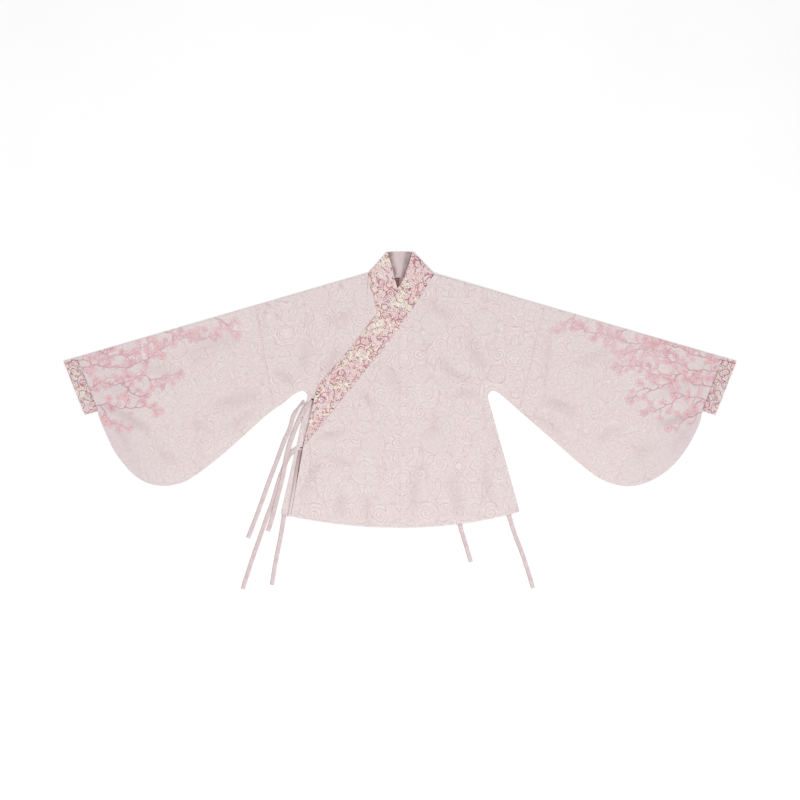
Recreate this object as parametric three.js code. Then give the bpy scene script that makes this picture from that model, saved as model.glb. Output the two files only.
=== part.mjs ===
// A cross-collar hanfu jacket with pipa sleeves, laid flat on the ground with its front up.
// Millimetres, +Z up. The ground is z = 0, the collar points along +Y and the wearer's left
// sleeve along +X. Each piece of cloth is a thin wall; pieces stand a seam's gap apart.
import * as THREE from "three";

// ---- driving dimensions -------------------------------------------------------------------
const CLOTH = 1.2; // wall of the body, overlap and sleeve cloth
const BAND = 1.6; // doubled cloth of the collar and cuff bands
const TIE = 1.0; // pressed cloth of the ties
const TIE_WIDTH = 11;
const SEAM = 0.3; // gap between pieces that are sewn together
const SHOULDER_PEAK = 408.7; // where the two shoulder lines would meet above the neck
const SHOULDER_SLOPE = 0.2905; // fall of the shoulder line for each mm outwards
const HEM_CENTRE = -277.5; // height of the hem at the centre front
const ARM_TOP = 235; // distance from the centre where the shoulder passes over the underarm
const SLEEVE_SEAM_TOP = 376; // distance of the sleeve seam from the centre, at the shoulder
const CUFF_SEAM_TOP = 839.5; // distance of the cuff seam from the centre, at the shoulder line
const CUFF_SEAM_FOOT = new THREE.Vector2(785.5, 26);
const CUFF_END_TOP = 874;
const CUFF_END_FOOT = new THREE.Vector2(819, 15);

// heights above the ground of the undersides of the layers
const TIE_LEVEL = CLOTH + SEAM; // inner ties lie on the back
const INNER_LEVEL = 2.8; // inner front, over the inner ties
const OUTER_LEVEL = 4.7; // outer front, over the inner front and its collar band
const OUTER_BAND_LEVEL = 4.8;
const SIDE_HEM_LEVEL = 4.3;
const SLEEVE_LEVEL = 2.4; // sleeve front beside the fold along the top of the sleeve
const EDGE_LEVEL = CLOTH + SEAM; // where a front is sewn to its back
const LEVEL_FALL_FROM = 215; // the front sinks from the body's level to the sleeve's between
const LEVEL_FALL_TO = 330; // these distances from the centre
const LEVEL_FALL_HEIGHT = 60; // and only from this far below the underarm upwards
const EDGE_WIDTH = 30; // strip beside a seam over which the front rises to its level
const SLEEVE_LOFT = 1.2; // how much higher the middle of a sleeve's front lies than its edges
const FOLD_STEPS = 6;

// The two halves. Right and left are the wearer's; side is the sign of X.
const HALVES = {
  right: {
    side: -1,
    level: INNER_LEVEL,
    underarm: new THREE.Vector2(240, 66),
    hemCorner: new THREE.Vector2(311, -241.5),
    sideSeamWidth: 12,
    sideSeamFoot: 0.33, // share of the side seam that is sewn, above a slit for the lower tie
    sleeveFoot: new THREE.Vector2(326, 31),
    // distance outwards and height of points along the sleeve's belly, from the underarm
    armpit: [[249, 77], [259, 77], [281, 65], [302, 47]],
    belly: [
      [364, 0], [426, -57], [489, -110], [551, -154], [590, -167], [624, -169], [660, -160],
      [692, -140], [720, -110], [744, -76], [764, -34], [779, 2],
    ],
  },
  left: {
    side: 1,
    level: OUTER_LEVEL,
    underarm: new THREE.Vector2(227, 64),
    hemCorner: new THREE.Vector2(311, -236),
    sideSeamWidth: EDGE_WIDTH,
    sideSeamFoot: 1,
    sleeveFoot: new THREE.Vector2(309, 27),
    armpit: [[236, 77], [247, 77], [262, 68], [284, 49]],
    belly: [
      [343, -3], [406, -58], [468, -112], [517, -149], [560, -166], [600, -170], [640, -161],
      [680, -140], [712, -113], [740, -79], [764, -38], [779, -4],
    ],
  },
};

// Collar sections. seam is the edge sewn to the panels, rim is the free edge round the neck.
// The band's inner end is hidden below the outer front; its outer end is at the wearer's right.
const INNER_BAND = [
  { seam: [222, -70], rim: [195, 45] },
  { seam: [175, -27], rim: [183, 66] },
  { seam: [120, 22], rim: [153, 92] },
  { seam: [60, 87], rim: [104, 137] },
  { seam: [0, 160], rim: [48, 205] },
  { seam: [-38, 226], rim: [20, 258] },
  { seam: [-59, 280], rim: [3, 302] },
  { seam: [-68, 322], rim: [-7, 346] },
  { seam: [-77, 346], rim: [-14, 370] },
  { seam: [-83, 367], rim: [-21, 400] },
];
const RIGHT_NECK_FOLD = { seam: [-82, 384.5], rim: [-33.8, 439.3] };
const BACK_STAND = [
  { seam: [-55, 380], rim: [-22, 439.3] },
  { seam: [0, 373], rim: [0, 439.3] },
  { seam: [52, 377.9], rim: [22, 439.3] },
];
const LEFT_NECK_FOLD = { seam: [88, 383.1], rim: [33.8, 439.3] };
const OUTER_BAND = [
  { seam: [77, 363.5], rim: [20, 398] },
  { seam: [58.5, 332.8], rim: [5, 362] },
  { seam: [33, 293.3], rim: [-17, 331] },
  { seam: [0, 242], rim: [-48, 294] },
  { seam: [-60, 168.2], rim: [-101, 224] },
  { seam: [-109, 107.9], rim: [-135, 181] },
  { seam: [-150, 57.5], rim: [-163, 150] },
  { seam: [-188, 10.7], rim: [-194, 114] },
  { seam: [-214, -21.3], rim: [-211, 90] },
  { seam: [-236, -48.3], rim: [-220, 70] },
  { seam: [-252, -68], rim: [-223, 54] },
];

// Free edges of the overlaps below the collar, from the collar's end to the hem
const OUTER_OVERLAP_FOOT = -283; // X of the outer overlap's corner at the hem
const SIDE_HEM_WIDTH = 11;
const SIDE_HEM_TOP = -76;
const INNER_OVERLAP_FOOT = 268;
const INNER_HEM_RISE = 6; // the hidden inner overlap is this much shorter

// Largest folds of each sleeve, as soft ridges between two points given like the belly's.
const SLEEVE_FOLDS = [
  { side: -1, from: [776, 44], to: [640, -40], height: 1.1, width: 26 },
  { side: -1, from: [800, 104], to: [650, 66], height: 0.8, width: 30 },
  { side: -1, from: [356, 74], to: [500, 40], height: 0.9, width: 34 },
  { side: 1, from: [778, 40], to: [662, -12], height: 1.2, width: 24 },
  { side: 1, from: [770, 12], to: [690, -84], height: 0.9, width: 26 },
  { side: 1, from: [352, 58], to: [470, 6], height: 0.9, width: 32 },
];

// Ties. Each row is a point on the middle of the tie: x, y, z of its middle, and lean, the
// angle in degrees by which the tie is turned up on its edge there.
const GROUND = TIE / 2;
const ON_BACK = TIE_LEVEL + TIE / 2;
const ON_FRONT = INNER_LEVEL + CLOTH + SEAM + TIE / 2;
const OVER_TIE = TIE + SEAM + TIE / 2;
const TIES = {
  tie_side_upper: [
    [-248, 50, 2, 0], [-253, 46.5, 3.6, 30], [-259, 41, 5.4, 60], [-266, 32, 5.4, 62],
    [-273, 21, 3.4, 32],
    [-279, 7, 1.2, 6], [-286, -18, GROUND, 0], [-304, -60, GROUND, 0], [-321, -107, GROUND, 0],
    [-339, -154, GROUND, 0], [-356, -201, GROUND, 0], [-373, -248, GROUND, 0],
    [-395, -305, GROUND, 0],
  ],
  tie_outer_upper: [
    [-230, 49, ON_FRONT, 0], [-239, 39.5, ON_FRONT, 0], [-248, 29, 4.3, 4],
    [-258, 12, 3.2, 8], [-268, -10, OVER_TIE, 0], [-285, -55, 2.8, 0],
    [-292.5, -84, 3.4, 0], [-298, -108, 2.8, 0], [-307, -154, OVER_TIE, 0],
    [-318, -196, OVER_TIE, 0], [-326, -229, OVER_TIE, 0], [-335, -262, 0.8, 0],
    [-343, -287, GROUND, 0],
  ],
  tie_outer_lower: [
    [-262, -69, ON_BACK, 0], [-272, -75.5, ON_BACK, 0], [-281, -82, ON_BACK, 0],
    [-287, -89, 1.2, 0], [-295, -104, GROUND, 0],
    [-308, -136, GROUND, 0],
    [-319, -170, GROUND, 0], [-333, -216, GROUND, 0], [-347, -254, GROUND, 0],
    [-361, -294, GROUND, 0], [-383, -357, GROUND, 0], [-401, -412, GROUND, 0],
    [-409, -437.5, GROUND, 0],
  ],
  tie_side_lower: [
    [-264, -86, ON_BACK, 0], [-272, -120, ON_BACK, 0], [-288, -185, ON_BACK, 0],
    [-301, -246, ON_BACK, 0], [-306, -276, 0.9, 0], [-312, -310, GROUND, 0],
    [-324, -370, GROUND, 0], [-333, -427, GROUND, 0],
  ],
  tie_inner_upper: [
    [188, 36, ON_BACK, 0], [168, -20, ON_BACK, 0], [149, -90, ON_BACK, 0],
    [142, -160, ON_BACK, 0], [148, -228, ON_BACK, 0], [157, -276, ON_BACK, 0],
    [165, -303, 0.9, 0], [172, -326, GROUND, 0], [184.5, -367, GROUND, 0],
  ],
  tie_inner_lower: [
    [221, -62, ON_BACK, 0], [246, -136, ON_BACK, 0], [270, -207, ON_BACK, 0],
    [284, -249, ON_BACK, 0], [292, -276, 0.9, 0], [301, -302, GROUND, 0],
    [316, -341, GROUND, 0], [332, -389, GROUND, 0], [346, -435, GROUND, 0],
  ],
};

// ---- small tools --------------------------------------------------------------------------
const point = ([x, y]) => new THREE.Vector2(x, y);
const smooth = (value) => THREE.MathUtils.smoothstep(value, 0, 1);
const shoulderHeight = (reach) => SHOULDER_PEAK - SHOULDER_SLOPE * reach;
const SHOULDER_OUT = new THREE.Vector2(SHOULDER_SLOPE, 1).normalize(); // square to the shoulder

function hemHeight(half, reach) {
  const corner = half.hemCorner;
  return HEM_CENTRE + (corner.y - HEM_CENTRE) * (reach / corner.x) ** 2;
}

function distanceToPath(path, spot) {
  let least = Infinity;
  for (let i = 1; i < path.length; i += 1) {
    const along = path[i].clone().sub(path[i - 1]);
    const share = spot.clone().sub(path[i - 1]).dot(along) / along.lengthSq();
    const nearest = path[i - 1].clone().addScaledVector(along, THREE.MathUtils.clamp(share, 0, 1));
    least = Math.min(least, nearest.distanceTo(spot));
  }
  return least;
}

// Moves a path sideways, to the left of its direction for a positive distance.
function offsetPath(path, distance) {
  return path.map((spot, i) => {
    const before = path[Math.max(i - 1, 0)];
    const after = path[Math.min(i + 1, path.length - 1)];
    const along = after.clone().sub(before).normalize();
    return spot.clone().add(new THREE.Vector2(-along.y, along.x).multiplyScalar(distance));
  });
}

// Points at given shares of a path's length
function stationsOn(path, shares) {
  const lengths = [0];
  for (let i = 1; i < path.length; i += 1) {
    lengths.push(lengths[i - 1] + path[i].distanceTo(path[i - 1]));
  }
  return shares.map((share) => {
    const wanted = share * lengths.at(-1);
    let i = 1;
    while (i < path.length - 1 && lengths[i] < wanted) i += 1;
    const part = (wanted - lengths[i - 1]) / (lengths[i] - lengths[i - 1]);
    return path[i - 1].clone().lerp(path[i], part);
  });
}

function smoothCurve(points, count) {
  const curve = new THREE.SplineCurve(points);
  return curve.getSpacedPoints(count);
}

// Grid of plan points between four edges, given as lists of points (a Coons patch).
// grid[column][row]; columns run from the left edge to the right, rows from bottom to top.
function patchGrid(bottom, top, left, right, acrossShares, upShares) {
  return acrossShares.map((u, i) => upShares.map((v, j) => {
    const spot = new THREE.Vector2();
    spot.addScaledVector(bottom[i], 1 - v).addScaledVector(top[i], v);
    spot.addScaledVector(left[j], 1 - u).addScaledVector(right[j], u);
    spot.addScaledVector(bottom[0], -(1 - u) * (1 - v)).addScaledVector(bottom.at(-1), -u * (1 - v));
    spot.addScaledVector(top[0], -(1 - u) * v).addScaledVector(top.at(-1), -u * v);
    return spot;
  }));
}

// A wall: a sheet of cells whose every corner has a point on the outer and on the inner skin.
class Wall {
  constructor() {
    this.outer = [];
    this.inner = [];
    this.cells = [];
  }

  corner(outer, inner) {
    this.outer.push(outer);
    this.inner.push(inner);
    return this.outer.length - 1;
  }

  flat(spot, bottom, thickness, faceDown = false) {
    const low = new THREE.Vector3(spot.x, spot.y, bottom);
    const high = new THREE.Vector3(spot.x, spot.y, bottom + thickness);
    return faceDown ? this.corner(low, high) : this.corner(high, low);
  }

  // Joins a grid of corners, ids[column][row], into cells.
  join(ids) {
    for (let i = 1; i < ids.length; i += 1) {
      for (let j = 1; j < ids[i].length; j += 1) {
        const [a, b, c, d] = [ids[i - 1][j - 1], ids[i][j - 1], ids[i][j], ids[i - 1][j]];
        this.cells.push([a, b, c], [a, c, d]);
      }
    }
  }

  // The same for the underlying half of a folded sheet, whose outer skin faces down
  joinUnder(ids) {
    this.join(ids.map((column) => [...column].reverse()));
  }

  // The closed solid: both skins and a strip along every open edge of the sheet.
  geometry() {
    const count = this.outer.length;
    const faces = [];
    const openEdges = new Map();
    for (const [a, b, c] of this.cells) {
      faces.push([a, b, c], [c + count, b + count, a + count]);
      for (const [from, to] of [[a, b], [b, c], [c, a]]) {
        if (!openEdges.delete(`${to} ${from}`)) openEdges.set(`${from} ${to}`, [from, to]);
      }
    }
    for (const [from, to] of openEdges.values()) {
      faces.push([to, from, from + count], [to, from + count, to + count]);
    }
    const corners = [...this.outer, ...this.inner];
    let volume = 0;
    for (const [a, b, c] of faces) {
      volume += corners[a].dot(corners[b].clone().cross(corners[c]));
    }
    const geometry = new THREE.BufferGeometry();
    geometry.setFromPoints(corners);
    geometry.setIndex(faces.flatMap(([a, b, c]) => (volume > 0 ? [a, b, c] : [c, b, a])));
    geometry.computeVertexNormals();
    return geometry;
  }
}

const jacket = new THREE.Group();

function addPiece(name, wall, colour, roughness = 0.8) {
  const material = new THREE.MeshStandardMaterial({ color: colour, roughness, metalness: 0 });
  const mesh = new THREE.Mesh(wall.geometry(), material);
  mesh.name = name;
  jacket.add(mesh);
}

const COLOURS = { cloth: 0xe0d0d0, sleeve: 0xe2cbcd, print: 0xcf9c98, tie: 0xd8c4c4 };

// ---- folds ---------------------------------------------------------------------------------
// One corner of a turned edge: the wall goes over the top at turn 0 and under at turn 1.
// nose is the outermost point in plan, out the plan direction that the nose points in.
function foldCorner(wall, nose, out, topHeight, thickness, turn) {
  const angle = Math.PI * (0.5 - turn);
  const radius = topHeight / 2;
  const at = (size) => {
    const spot = nose.clone().addScaledVector(out, Math.cos(angle) * size - radius);
    return new THREE.Vector3(spot.x, spot.y, radius + Math.sin(angle) * size);
  };
  return wall.corner(at(radius), at(radius - thickness));
}

function foldTurns() {
  return Array.from({ length: FOLD_STEPS - 1 }, (_, k) => (k + 1) / FOLD_STEPS);
}

// ---- heights of the fronts -------------------------------------------------------------------
for (const half of Object.values(HALVES)) {
  const seamFoot = half.underarm.clone().lerp(half.hemCorner, half.sideSeamFoot);
  half.sideSeam = [half.underarm, seamFoot];
  half.armpitCurve = [half.underarm, ...half.armpit.map(point), half.sleeveFoot];
  const bellyPoints = [half.sleeveFoot, ...half.belly.map(point), CUFF_SEAM_FOOT];
  half.bellyCurve = smoothCurve(bellyPoints, 40);
  half.armSeam = [...half.armpitCurve, ...half.bellyCurve.slice(1)];
}

function foldRise(side, spot) {
  let rise = 0;
  for (const fold of SLEEVE_FOLDS.filter((row) => row.side === side)) {
    const [from, to] = [point(fold.from), point(fold.to)];
    const along = to.clone().sub(from);
    const share = THREE.MathUtils.clamp(spot.clone().sub(from).dot(along) / along.lengthSq(), 0, 1);
    const away = from.clone().addScaledVector(along, share).distanceTo(spot) / fold.width;
    const crest = Math.sin(Math.PI * (0.25 + 0.6 * share)); // highest a little before its middle
    rise += fold.height * crest * Math.exp(-2.5 * away * away);
  }
  return rise;
}

// Height of the underside of a front above the ground, at a spot given in distance outwards
function frontUnderside(half, spot, onSleeve = false) {
  const fall = smooth((spot.x - LEVEL_FALL_FROM) / (LEVEL_FALL_TO - LEVEL_FALL_FROM));
  const aboveUnderarm = smooth(1 + (spot.y - half.underarm.y) / LEVEL_FALL_HEIGHT);
  const sunk = onSleeve ? 1 : fall * aboveUnderarm;
  const level = THREE.MathUtils.lerp(half.level, SLEEVE_LEVEL, sunk);
  const rise = Math.min(
    smooth(distanceToPath(half.sideSeam, spot) / half.sideSeamWidth),
    smooth(distanceToPath(half.armSeam, spot) / EDGE_WIDTH),
  );
  return EDGE_LEVEL + (level - EDGE_LEVEL) * rise;
}

function sleeveUnderside(half, spot, u, v) {
  const inside = Math.sin(Math.PI * v) * smooth(u / 0.15) * smooth((1 - u) / 0.1);
  return frontUnderside(half, spot, true) + inside * (SLEEVE_LOFT + foldRise(half.side, spot));
}

// Plan points are worked out for a half with distances outwards; this puts them on its side.
const placed = (half, spot) => new THREE.Vector2(half.side * spot.x, spot.y);
const outwards = (half) => new THREE.Vector2(half.side * SHOULDER_OUT.x, SHOULDER_OUT.y);

// Height of the top of the cloth where the shoulder fold starts
function shoulderTop(half, reach) {
  return frontUnderside(half, new THREE.Vector2(reach, shoulderHeight(reach))) + CLOTH;
}

// Plan point where the cloth beside a fold stops being flat
function besideFold(nose, topHeight) {
  return nose.clone().addScaledVector(SHOULDER_OUT, -topHeight / 2);
}

// ---- body halves -------------------------------------------------------------------------------
const TORSO_REACHES = [125, 160, 190, 210, 223, ARM_TOP]; // columns along the shoulder
const SIDE_SHARES = [0, 0.3, 0.6, 0.85]; // rows from the hem up to the underarm
const ARM_SHARES = [0, 0.035, 0.075, 0.12, 0.3, 0.6, 1]; // rows from the underarm up
const ROOT_SHARES = [0, 0.12, 0.3, 0.5, 0.75, 1]; // columns from the underarm to the sleeve seam
const UNDERARM_SHARE = 0.52; // share of the rows' span that lies below the underarm

// neckPath: the edge along the collar's seam, from the centre to the neck point, in distances
// outwards. backNeck: the same for the back.
function addBodyHalf(name, half, neckPath, backNeck) {
  const wall = new Wall();
  const upShares = [
    ...SIDE_SHARES.map((share) => share * UNDERARM_SHARE),
    ...ARM_SHARES.map((share) => UNDERARM_SHARE + share * (1 - UNDERARM_SHARE)),
  ];
  const underarmRow = SIDE_SHARES.length;
  const neckColumn = neckPath.length - 1;
  const neckReach = neckPath.at(-1).x;
  const reaches = [neckReach, ...TORSO_REACHES];
  const noses = reaches.map((reach) => new THREE.Vector2(reach, shoulderHeight(reach)));
  const tops = reaches.map((reach) => shoulderTop(half, reach));
  const shoulder = noses.map((nose, i) => besideFold(nose, tops[i]));
  const frontTop = [...neckPath.slice(0, -1), ...shoulder];
  const backTop = [...backNeck, ...shoulder];
  const acrossShares = frontTop.map((spot) => (spot.x - SEAM / 2) / (frontTop.at(-1).x - SEAM / 2));
  const hem = acrossShares.map((share) => {
    const reach = THREE.MathUtils.lerp(SEAM / 2, half.hemCorner.x, share);
    return new THREE.Vector2(reach, hemHeight(half, reach));
  });
  const sideEdge = [
    ...stationsOn([half.hemCorner, half.underarm], SIDE_SHARES),
    ...stationsOn([half.underarm, shoulder.at(-1)], ARM_SHARES),
  ];
  const centreEdge = (top) => upShares.map((share) => hem[0].clone().lerp(top, share));

  // the sleeve's root, between the underarm column and the sleeve seam
  const rootNoses = ROOT_SHARES.map((share) => {
    const reach = THREE.MathUtils.lerp(ARM_TOP, SLEEVE_SEAM_TOP, share);
    return new THREE.Vector2(reach, shoulderHeight(reach));
  });
  const rootTops = rootNoses.map((nose) => shoulderTop(half, nose.x));
  const rootShoulder = rootNoses.map((nose, i) => besideFold(nose, rootTops[i]));
  const armpitPoints = stationsOn(half.armpitCurve, ROOT_SHARES);
  const sleeveSeam = stationsOn([half.sleeveFoot, rootShoulder.at(-1)], ARM_SHARES);
  const rootLeft = stationsOn([half.underarm, shoulder.at(-1)], ARM_SHARES);
  const root = patchGrid(armpitPoints, rootShoulder, rootLeft, sleeveSeam, ROOT_SHARES, ARM_SHARES);

  const layer = (torso, join, add) => {
    const torsoIds = torso.map((column) => column.map(add));
    const rootIds = root.slice(1).map((column) => column.map(add));
    wall[join](torsoIds);
    wall[join]([torsoIds.at(-1).slice(underarmRow), ...rootIds]);
    return [...torsoIds.slice(neckColumn), ...rootIds].map((column) => column.at(-1));
  };
  const frontTorso = patchGrid(hem, frontTop, centreEdge(frontTop[0]), sideEdge, acrossShares, upShares);
  const backTorso = patchGrid(hem, backTop, centreEdge(backTop[0]), sideEdge, acrossShares, upShares);
  const frontRim = layer(frontTorso, "join", (spot) => {
    return wall.flat(placed(half, spot), frontUnderside(half, spot), CLOTH);
  });
  const backRim = layer(backTorso, "joinUnder", (spot) => {
    return wall.flat(placed(half, spot), 0, CLOTH, true);
  });

  const foldNoses = [...noses, ...rootNoses.slice(1)];
  const foldTops = [...tops, ...rootTops.slice(1)];
  wall.join(foldNoses.map((nose, i) => [
    frontRim[i],
    ...foldTurns().map((turn) => {
      return foldCorner(wall, placed(half, nose), outwards(half), foldTops[i], CLOTH, turn);
    }),
    backRim[i],
  ]));
  addPiece(name, wall, COLOURS.cloth);
}

// ---- sleeves ------------------------------------------------------------------------------------
const SLEEVE_COLUMNS = 18;
const SLEEVE_ROWS = [0, 0.05, 0.1, 0.18, 0.28, 0.4, 0.52, 0.64, 0.76, 0.88, 1];
const NOTCH_ROW = 4; // the last column follows the belly up to this row, then the cuff's seam
const BELLY_SHARE = 0.9; // share of the belly's length that the other columns start from

function addSleeve(name, half) {
  const wall = new Wall();
  const shares = Array.from({ length: SLEEVE_COLUMNS + 1 }, (_, i) => i / SLEEVE_COLUMNS);
  const noses = shares.map((share) => {
    const reach = THREE.MathUtils.lerp(SLEEVE_SEAM_TOP + SEAM, CUFF_SEAM_TOP, share);
    return new THREE.Vector2(reach, shoulderHeight(reach));
  });
  const top = SLEEVE_LEVEL + CLOTH;
  const upper = noses.map((nose) => besideFold(nose, top));
  const belly = stationsOn(half.bellyCurve, shares.map((share) => share * BELLY_SHARE));
  belly[0].x += SEAM;
  const grid = belly.map((foot, i) => SLEEVE_ROWS.map((share) => foot.clone().lerp(upper[i], share)));
  const notchShare = SLEEVE_ROWS[NOTCH_ROW];
  grid[SLEEVE_COLUMNS] = SLEEVE_ROWS.map((share, row) => {
    if (row < NOTCH_ROW) {
      const along = THREE.MathUtils.lerp(BELLY_SHARE, 1, share / notchShare);
      return stationsOn(half.bellyCurve, [along])[0];
    }
    return CUFF_SEAM_FOOT.clone().lerp(upper.at(-1), (share - notchShare) / (1 - notchShare));
  });
  const front = grid.map((column, i) => column.map((spot, j) => {
    const bottom = sleeveUnderside(half, spot, shares[i], SLEEVE_ROWS[j]);
    return wall.flat(placed(half, spot), j === column.length - 1 ? SLEEVE_LEVEL : bottom, CLOTH);
  }));
  const back = grid.map((column) => column.map((spot) => {
    return wall.flat(placed(half, spot), 0, CLOTH, true);
  }));
  wall.join(front);
  wall.joinUnder(back);
  wall.join(noses.map((nose, i) => [
    front[i].at(-1),
    ...foldTurns().map((turn) => {
      return foldCorner(wall, placed(half, nose), outwards(half), top, CLOTH, turn);
    }),
    back[i].at(-1),
  ]));
  addPiece(name, wall, COLOURS.sleeve);
}

// ---- cuffs --------------------------------------------------------------------------------------
const CUFF_COLUMNS = [0, 0.5, 1];
const CUFF_ROWS = [0, 0.06, 0.16, 0.5, 1];
const CUFF_GAP = 1.4; // hollow inside the cuff beside its top fold

function addCuff(name, half) {
  const wall = new Wall();
  const top = 2 * BAND + CUFF_GAP;
  const noses = CUFF_COLUMNS.map((share) => {
    const reach = THREE.MathUtils.lerp(CUFF_SEAM_TOP + SEAM, CUFF_END_TOP, share);
    return new THREE.Vector2(reach, shoulderHeight(reach));
  });
  const upper = noses.map((nose) => besideFold(nose, top));
  const seamFoot = CUFF_SEAM_FOOT.clone();
  seamFoot.x += SEAM;
  const lower = stationsOn([seamFoot, CUFF_END_FOOT], CUFF_COLUMNS);
  const seamSide = stationsOn([lower[0], upper[0]], CUFF_ROWS);
  const endSide = stationsOn([lower.at(-1), upper.at(-1)], CUFF_ROWS);
  const grid = patchGrid(lower, upper, seamSide, endSide, CUFF_COLUMNS, CUFF_ROWS);
  const front = grid.map((column) => column.map((spot, j) => {
    const rise = smooth(CUFF_ROWS[j] / CUFF_ROWS[2]);
    return wall.flat(placed(half, spot), BAND + THREE.MathUtils.lerp(SEAM, CUFF_GAP, rise), BAND);
  }));
  const back = grid.map((column) => column.map((spot) => {
    return wall.flat(placed(half, spot), 0, BAND, true);
  }));
  wall.join(front);
  wall.joinUnder(back);
  wall.join(noses.map((nose, i) => [
    front[i].at(-1),
    ...foldTurns().map((turn) => {
      return foldCorner(wall, placed(half, nose), outwards(half), top, BAND, turn);
    }),
    back[i].at(-1),
  ]));
  addPiece(name, wall, COLOURS.print);
}

// ---- collar -------------------------------------------------------------------------------------
const BAND_COLUMNS = [0, 0.5, 1]; // from the seam edge to the rim

function addCollar() {
  const wall = new Wall();
  const across = (row) => stationsOn([point(row.seam), point(row.rim)], BAND_COLUMNS);
  const frontRow = (level) => (row) => across(row).map((spot) => wall.flat(spot, level, BAND));
  const standRow = (row) => across(row).map((spot) => wall.flat(spot, 0, BAND, true));
  // A neck fold turns the band from a front's level down to the ground behind the neck.
  const foldRows = (row, level, sideSign) => {
    const along = point(row.rim).sub(point(row.seam)).normalize();
    const out = new THREE.Vector2(sideSign * along.y, -sideSign * along.x);
    const turns = [0, ...foldTurns(), 1];
    return turns.map((turn) => across(row).map((nose) => {
      return foldCorner(wall, nose, out, level + BAND, BAND, turn);
    }));
  };
  wall.join([
    ...INNER_BAND.map(frontRow(INNER_LEVEL)),
    ...foldRows(RIGHT_NECK_FOLD, INNER_LEVEL, -1),
    ...BACK_STAND.map(standRow),
    ...foldRows(LEFT_NECK_FOLD, OUTER_BAND_LEVEL, 1).reverse(),
    ...OUTER_BAND.map(frontRow(OUTER_BAND_LEVEL)),
  ]);
  addPiece("collar", wall, COLOURS.print);
}

// ---- overlaps -----------------------------------------------------------------------------------
const OVERLAP_ROWS = [0, 0.25, 0.5, 0.75, 1];

// A panel between the collar's seam edge and the hem; seamEdge runs from the centre outwards.
function addOverlap(name, half, seamEdge, footReach, hemRise, level) {
  const wall = new Wall();
  const lengths = seamEdge.map((spot) => Math.abs(spot.x - seamEdge[0].x));
  const shares = lengths.map((length) => length / lengths.at(-1));
  const hem = shares.map((share) => {
    const reach = THREE.MathUtils.lerp(SEAM / 2, footReach, share);
    return new THREE.Vector2(reach, hemHeight(half, reach) + hemRise);
  });
  const centre = stationsOn([hem[0], seamEdge[0]], OVERLAP_ROWS);
  const free = stationsOn([hem.at(-1), seamEdge.at(-1)], OVERLAP_ROWS);
  const grid = patchGrid(hem, seamEdge, centre, free, shares, OVERLAP_ROWS);
  wall.join(grid.map((column) => column.map((spot) => {
    return wall.flat(placed(half, spot), level, CLOTH);
  })));
  addPiece(name, wall, COLOURS.cloth);
  return free;
}

function addSideHem(freeEdge) {
  const wall = new Wall();
  const [foot, head] = [freeEdge[0], freeEdge.at(-1)];
  const topShare = (SIDE_HEM_TOP - foot.y) / (head.y - foot.y);
  const rows = stationsOn([foot, foot.clone().lerp(head, topShare)], [0, 0.5, 1]);
  wall.join([SEAM, SIDE_HEM_WIDTH].map((reach) => rows.map((spot) => {
    const moved = new THREE.Vector2(spot.x + reach, spot.y);
    return wall.flat(placed(HALVES.right, moved), SIDE_HEM_LEVEL, TIE);
  })));
  addPiece("outer_overlap_side_hem", wall, COLOURS.cloth);
}

// ---- ties ---------------------------------------------------------------------------------------
function addTie(name, rows) {
  const wall = new Wall();
  const middle = rows.map(([x, y, z]) => new THREE.Vector3(x, y, z));
  const up = new THREE.Vector3(0, 0, 1);
  wall.join(middle.map((spot, i) => {
    const along = middle[Math.min(i + 1, middle.length - 1)].clone();
    along.sub(middle[Math.max(i - 1, 0)]).setZ(0).normalize();
    const lean = THREE.MathUtils.degToRad(rows[i][3]);
    const sideways = new THREE.Vector3(-along.y, along.x, 0);
    const across = sideways.clone().multiplyScalar(Math.cos(lean)).addScaledVector(up, Math.sin(lean));
    const normal = along.clone().cross(across);
    return [-TIE_WIDTH / 2, TIE_WIDTH / 2].map((reach) => {
      const edge = spot.clone().addScaledVector(across, reach);
      const half = TIE / 2;
      return wall.corner(edge.clone().addScaledVector(normal, half), edge.addScaledVector(normal, -half));
    });
  }));
  addPiece(name, wall, COLOURS.tie);
}

// ---- the jacket -----------------------------------------------------------------------------------
const PANEL_GAP = 0.4; // between the collar's seam edge and the panels
const BACK_NECK_DIP = 2.6; // the back's neck edge passes this far below the neck folds' corners
const mirrored = (spot) => new THREE.Vector2(-spot.x, spot.y);
const seamPoints = (rows) => rows.map((row) => point(row.seam));

// The collar's seam edge, moved off the collar, from the centre of the jacket outwards
const outerSeam = offsetPath(seamPoints([LEFT_NECK_FOLD, ...OUTER_BAND]), PANEL_GAP);
const innerSeam = offsetPath(seamPoints([...INNER_BAND, RIGHT_NECK_FOLD]), PANEL_GAP);
const centreOfOuter = 1 + OUTER_BAND.findIndex((row) => row.seam[0] === 0);
const centreOfInner = INNER_BAND.findIndex((row) => row.seam[0] === 0);

function startAtCentre(path) {
  const [first, second] = path;
  const share = (SEAM / 2 - first.x) / (second.x - first.x);
  return [first.clone().lerp(second, share), ...path.slice(1)];
}

const outerToNeck = startAtCentre(outerSeam.slice(0, centreOfOuter + 1).reverse());
const outerToTip = startAtCentre(outerSeam.slice(centreOfOuter).map(mirrored));
const innerToNeck = startAtCentre(innerSeam.slice(centreOfInner).map(mirrored));
const innerToTip = startAtCentre(innerSeam.slice(0, centreOfInner + 1).reverse());

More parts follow.
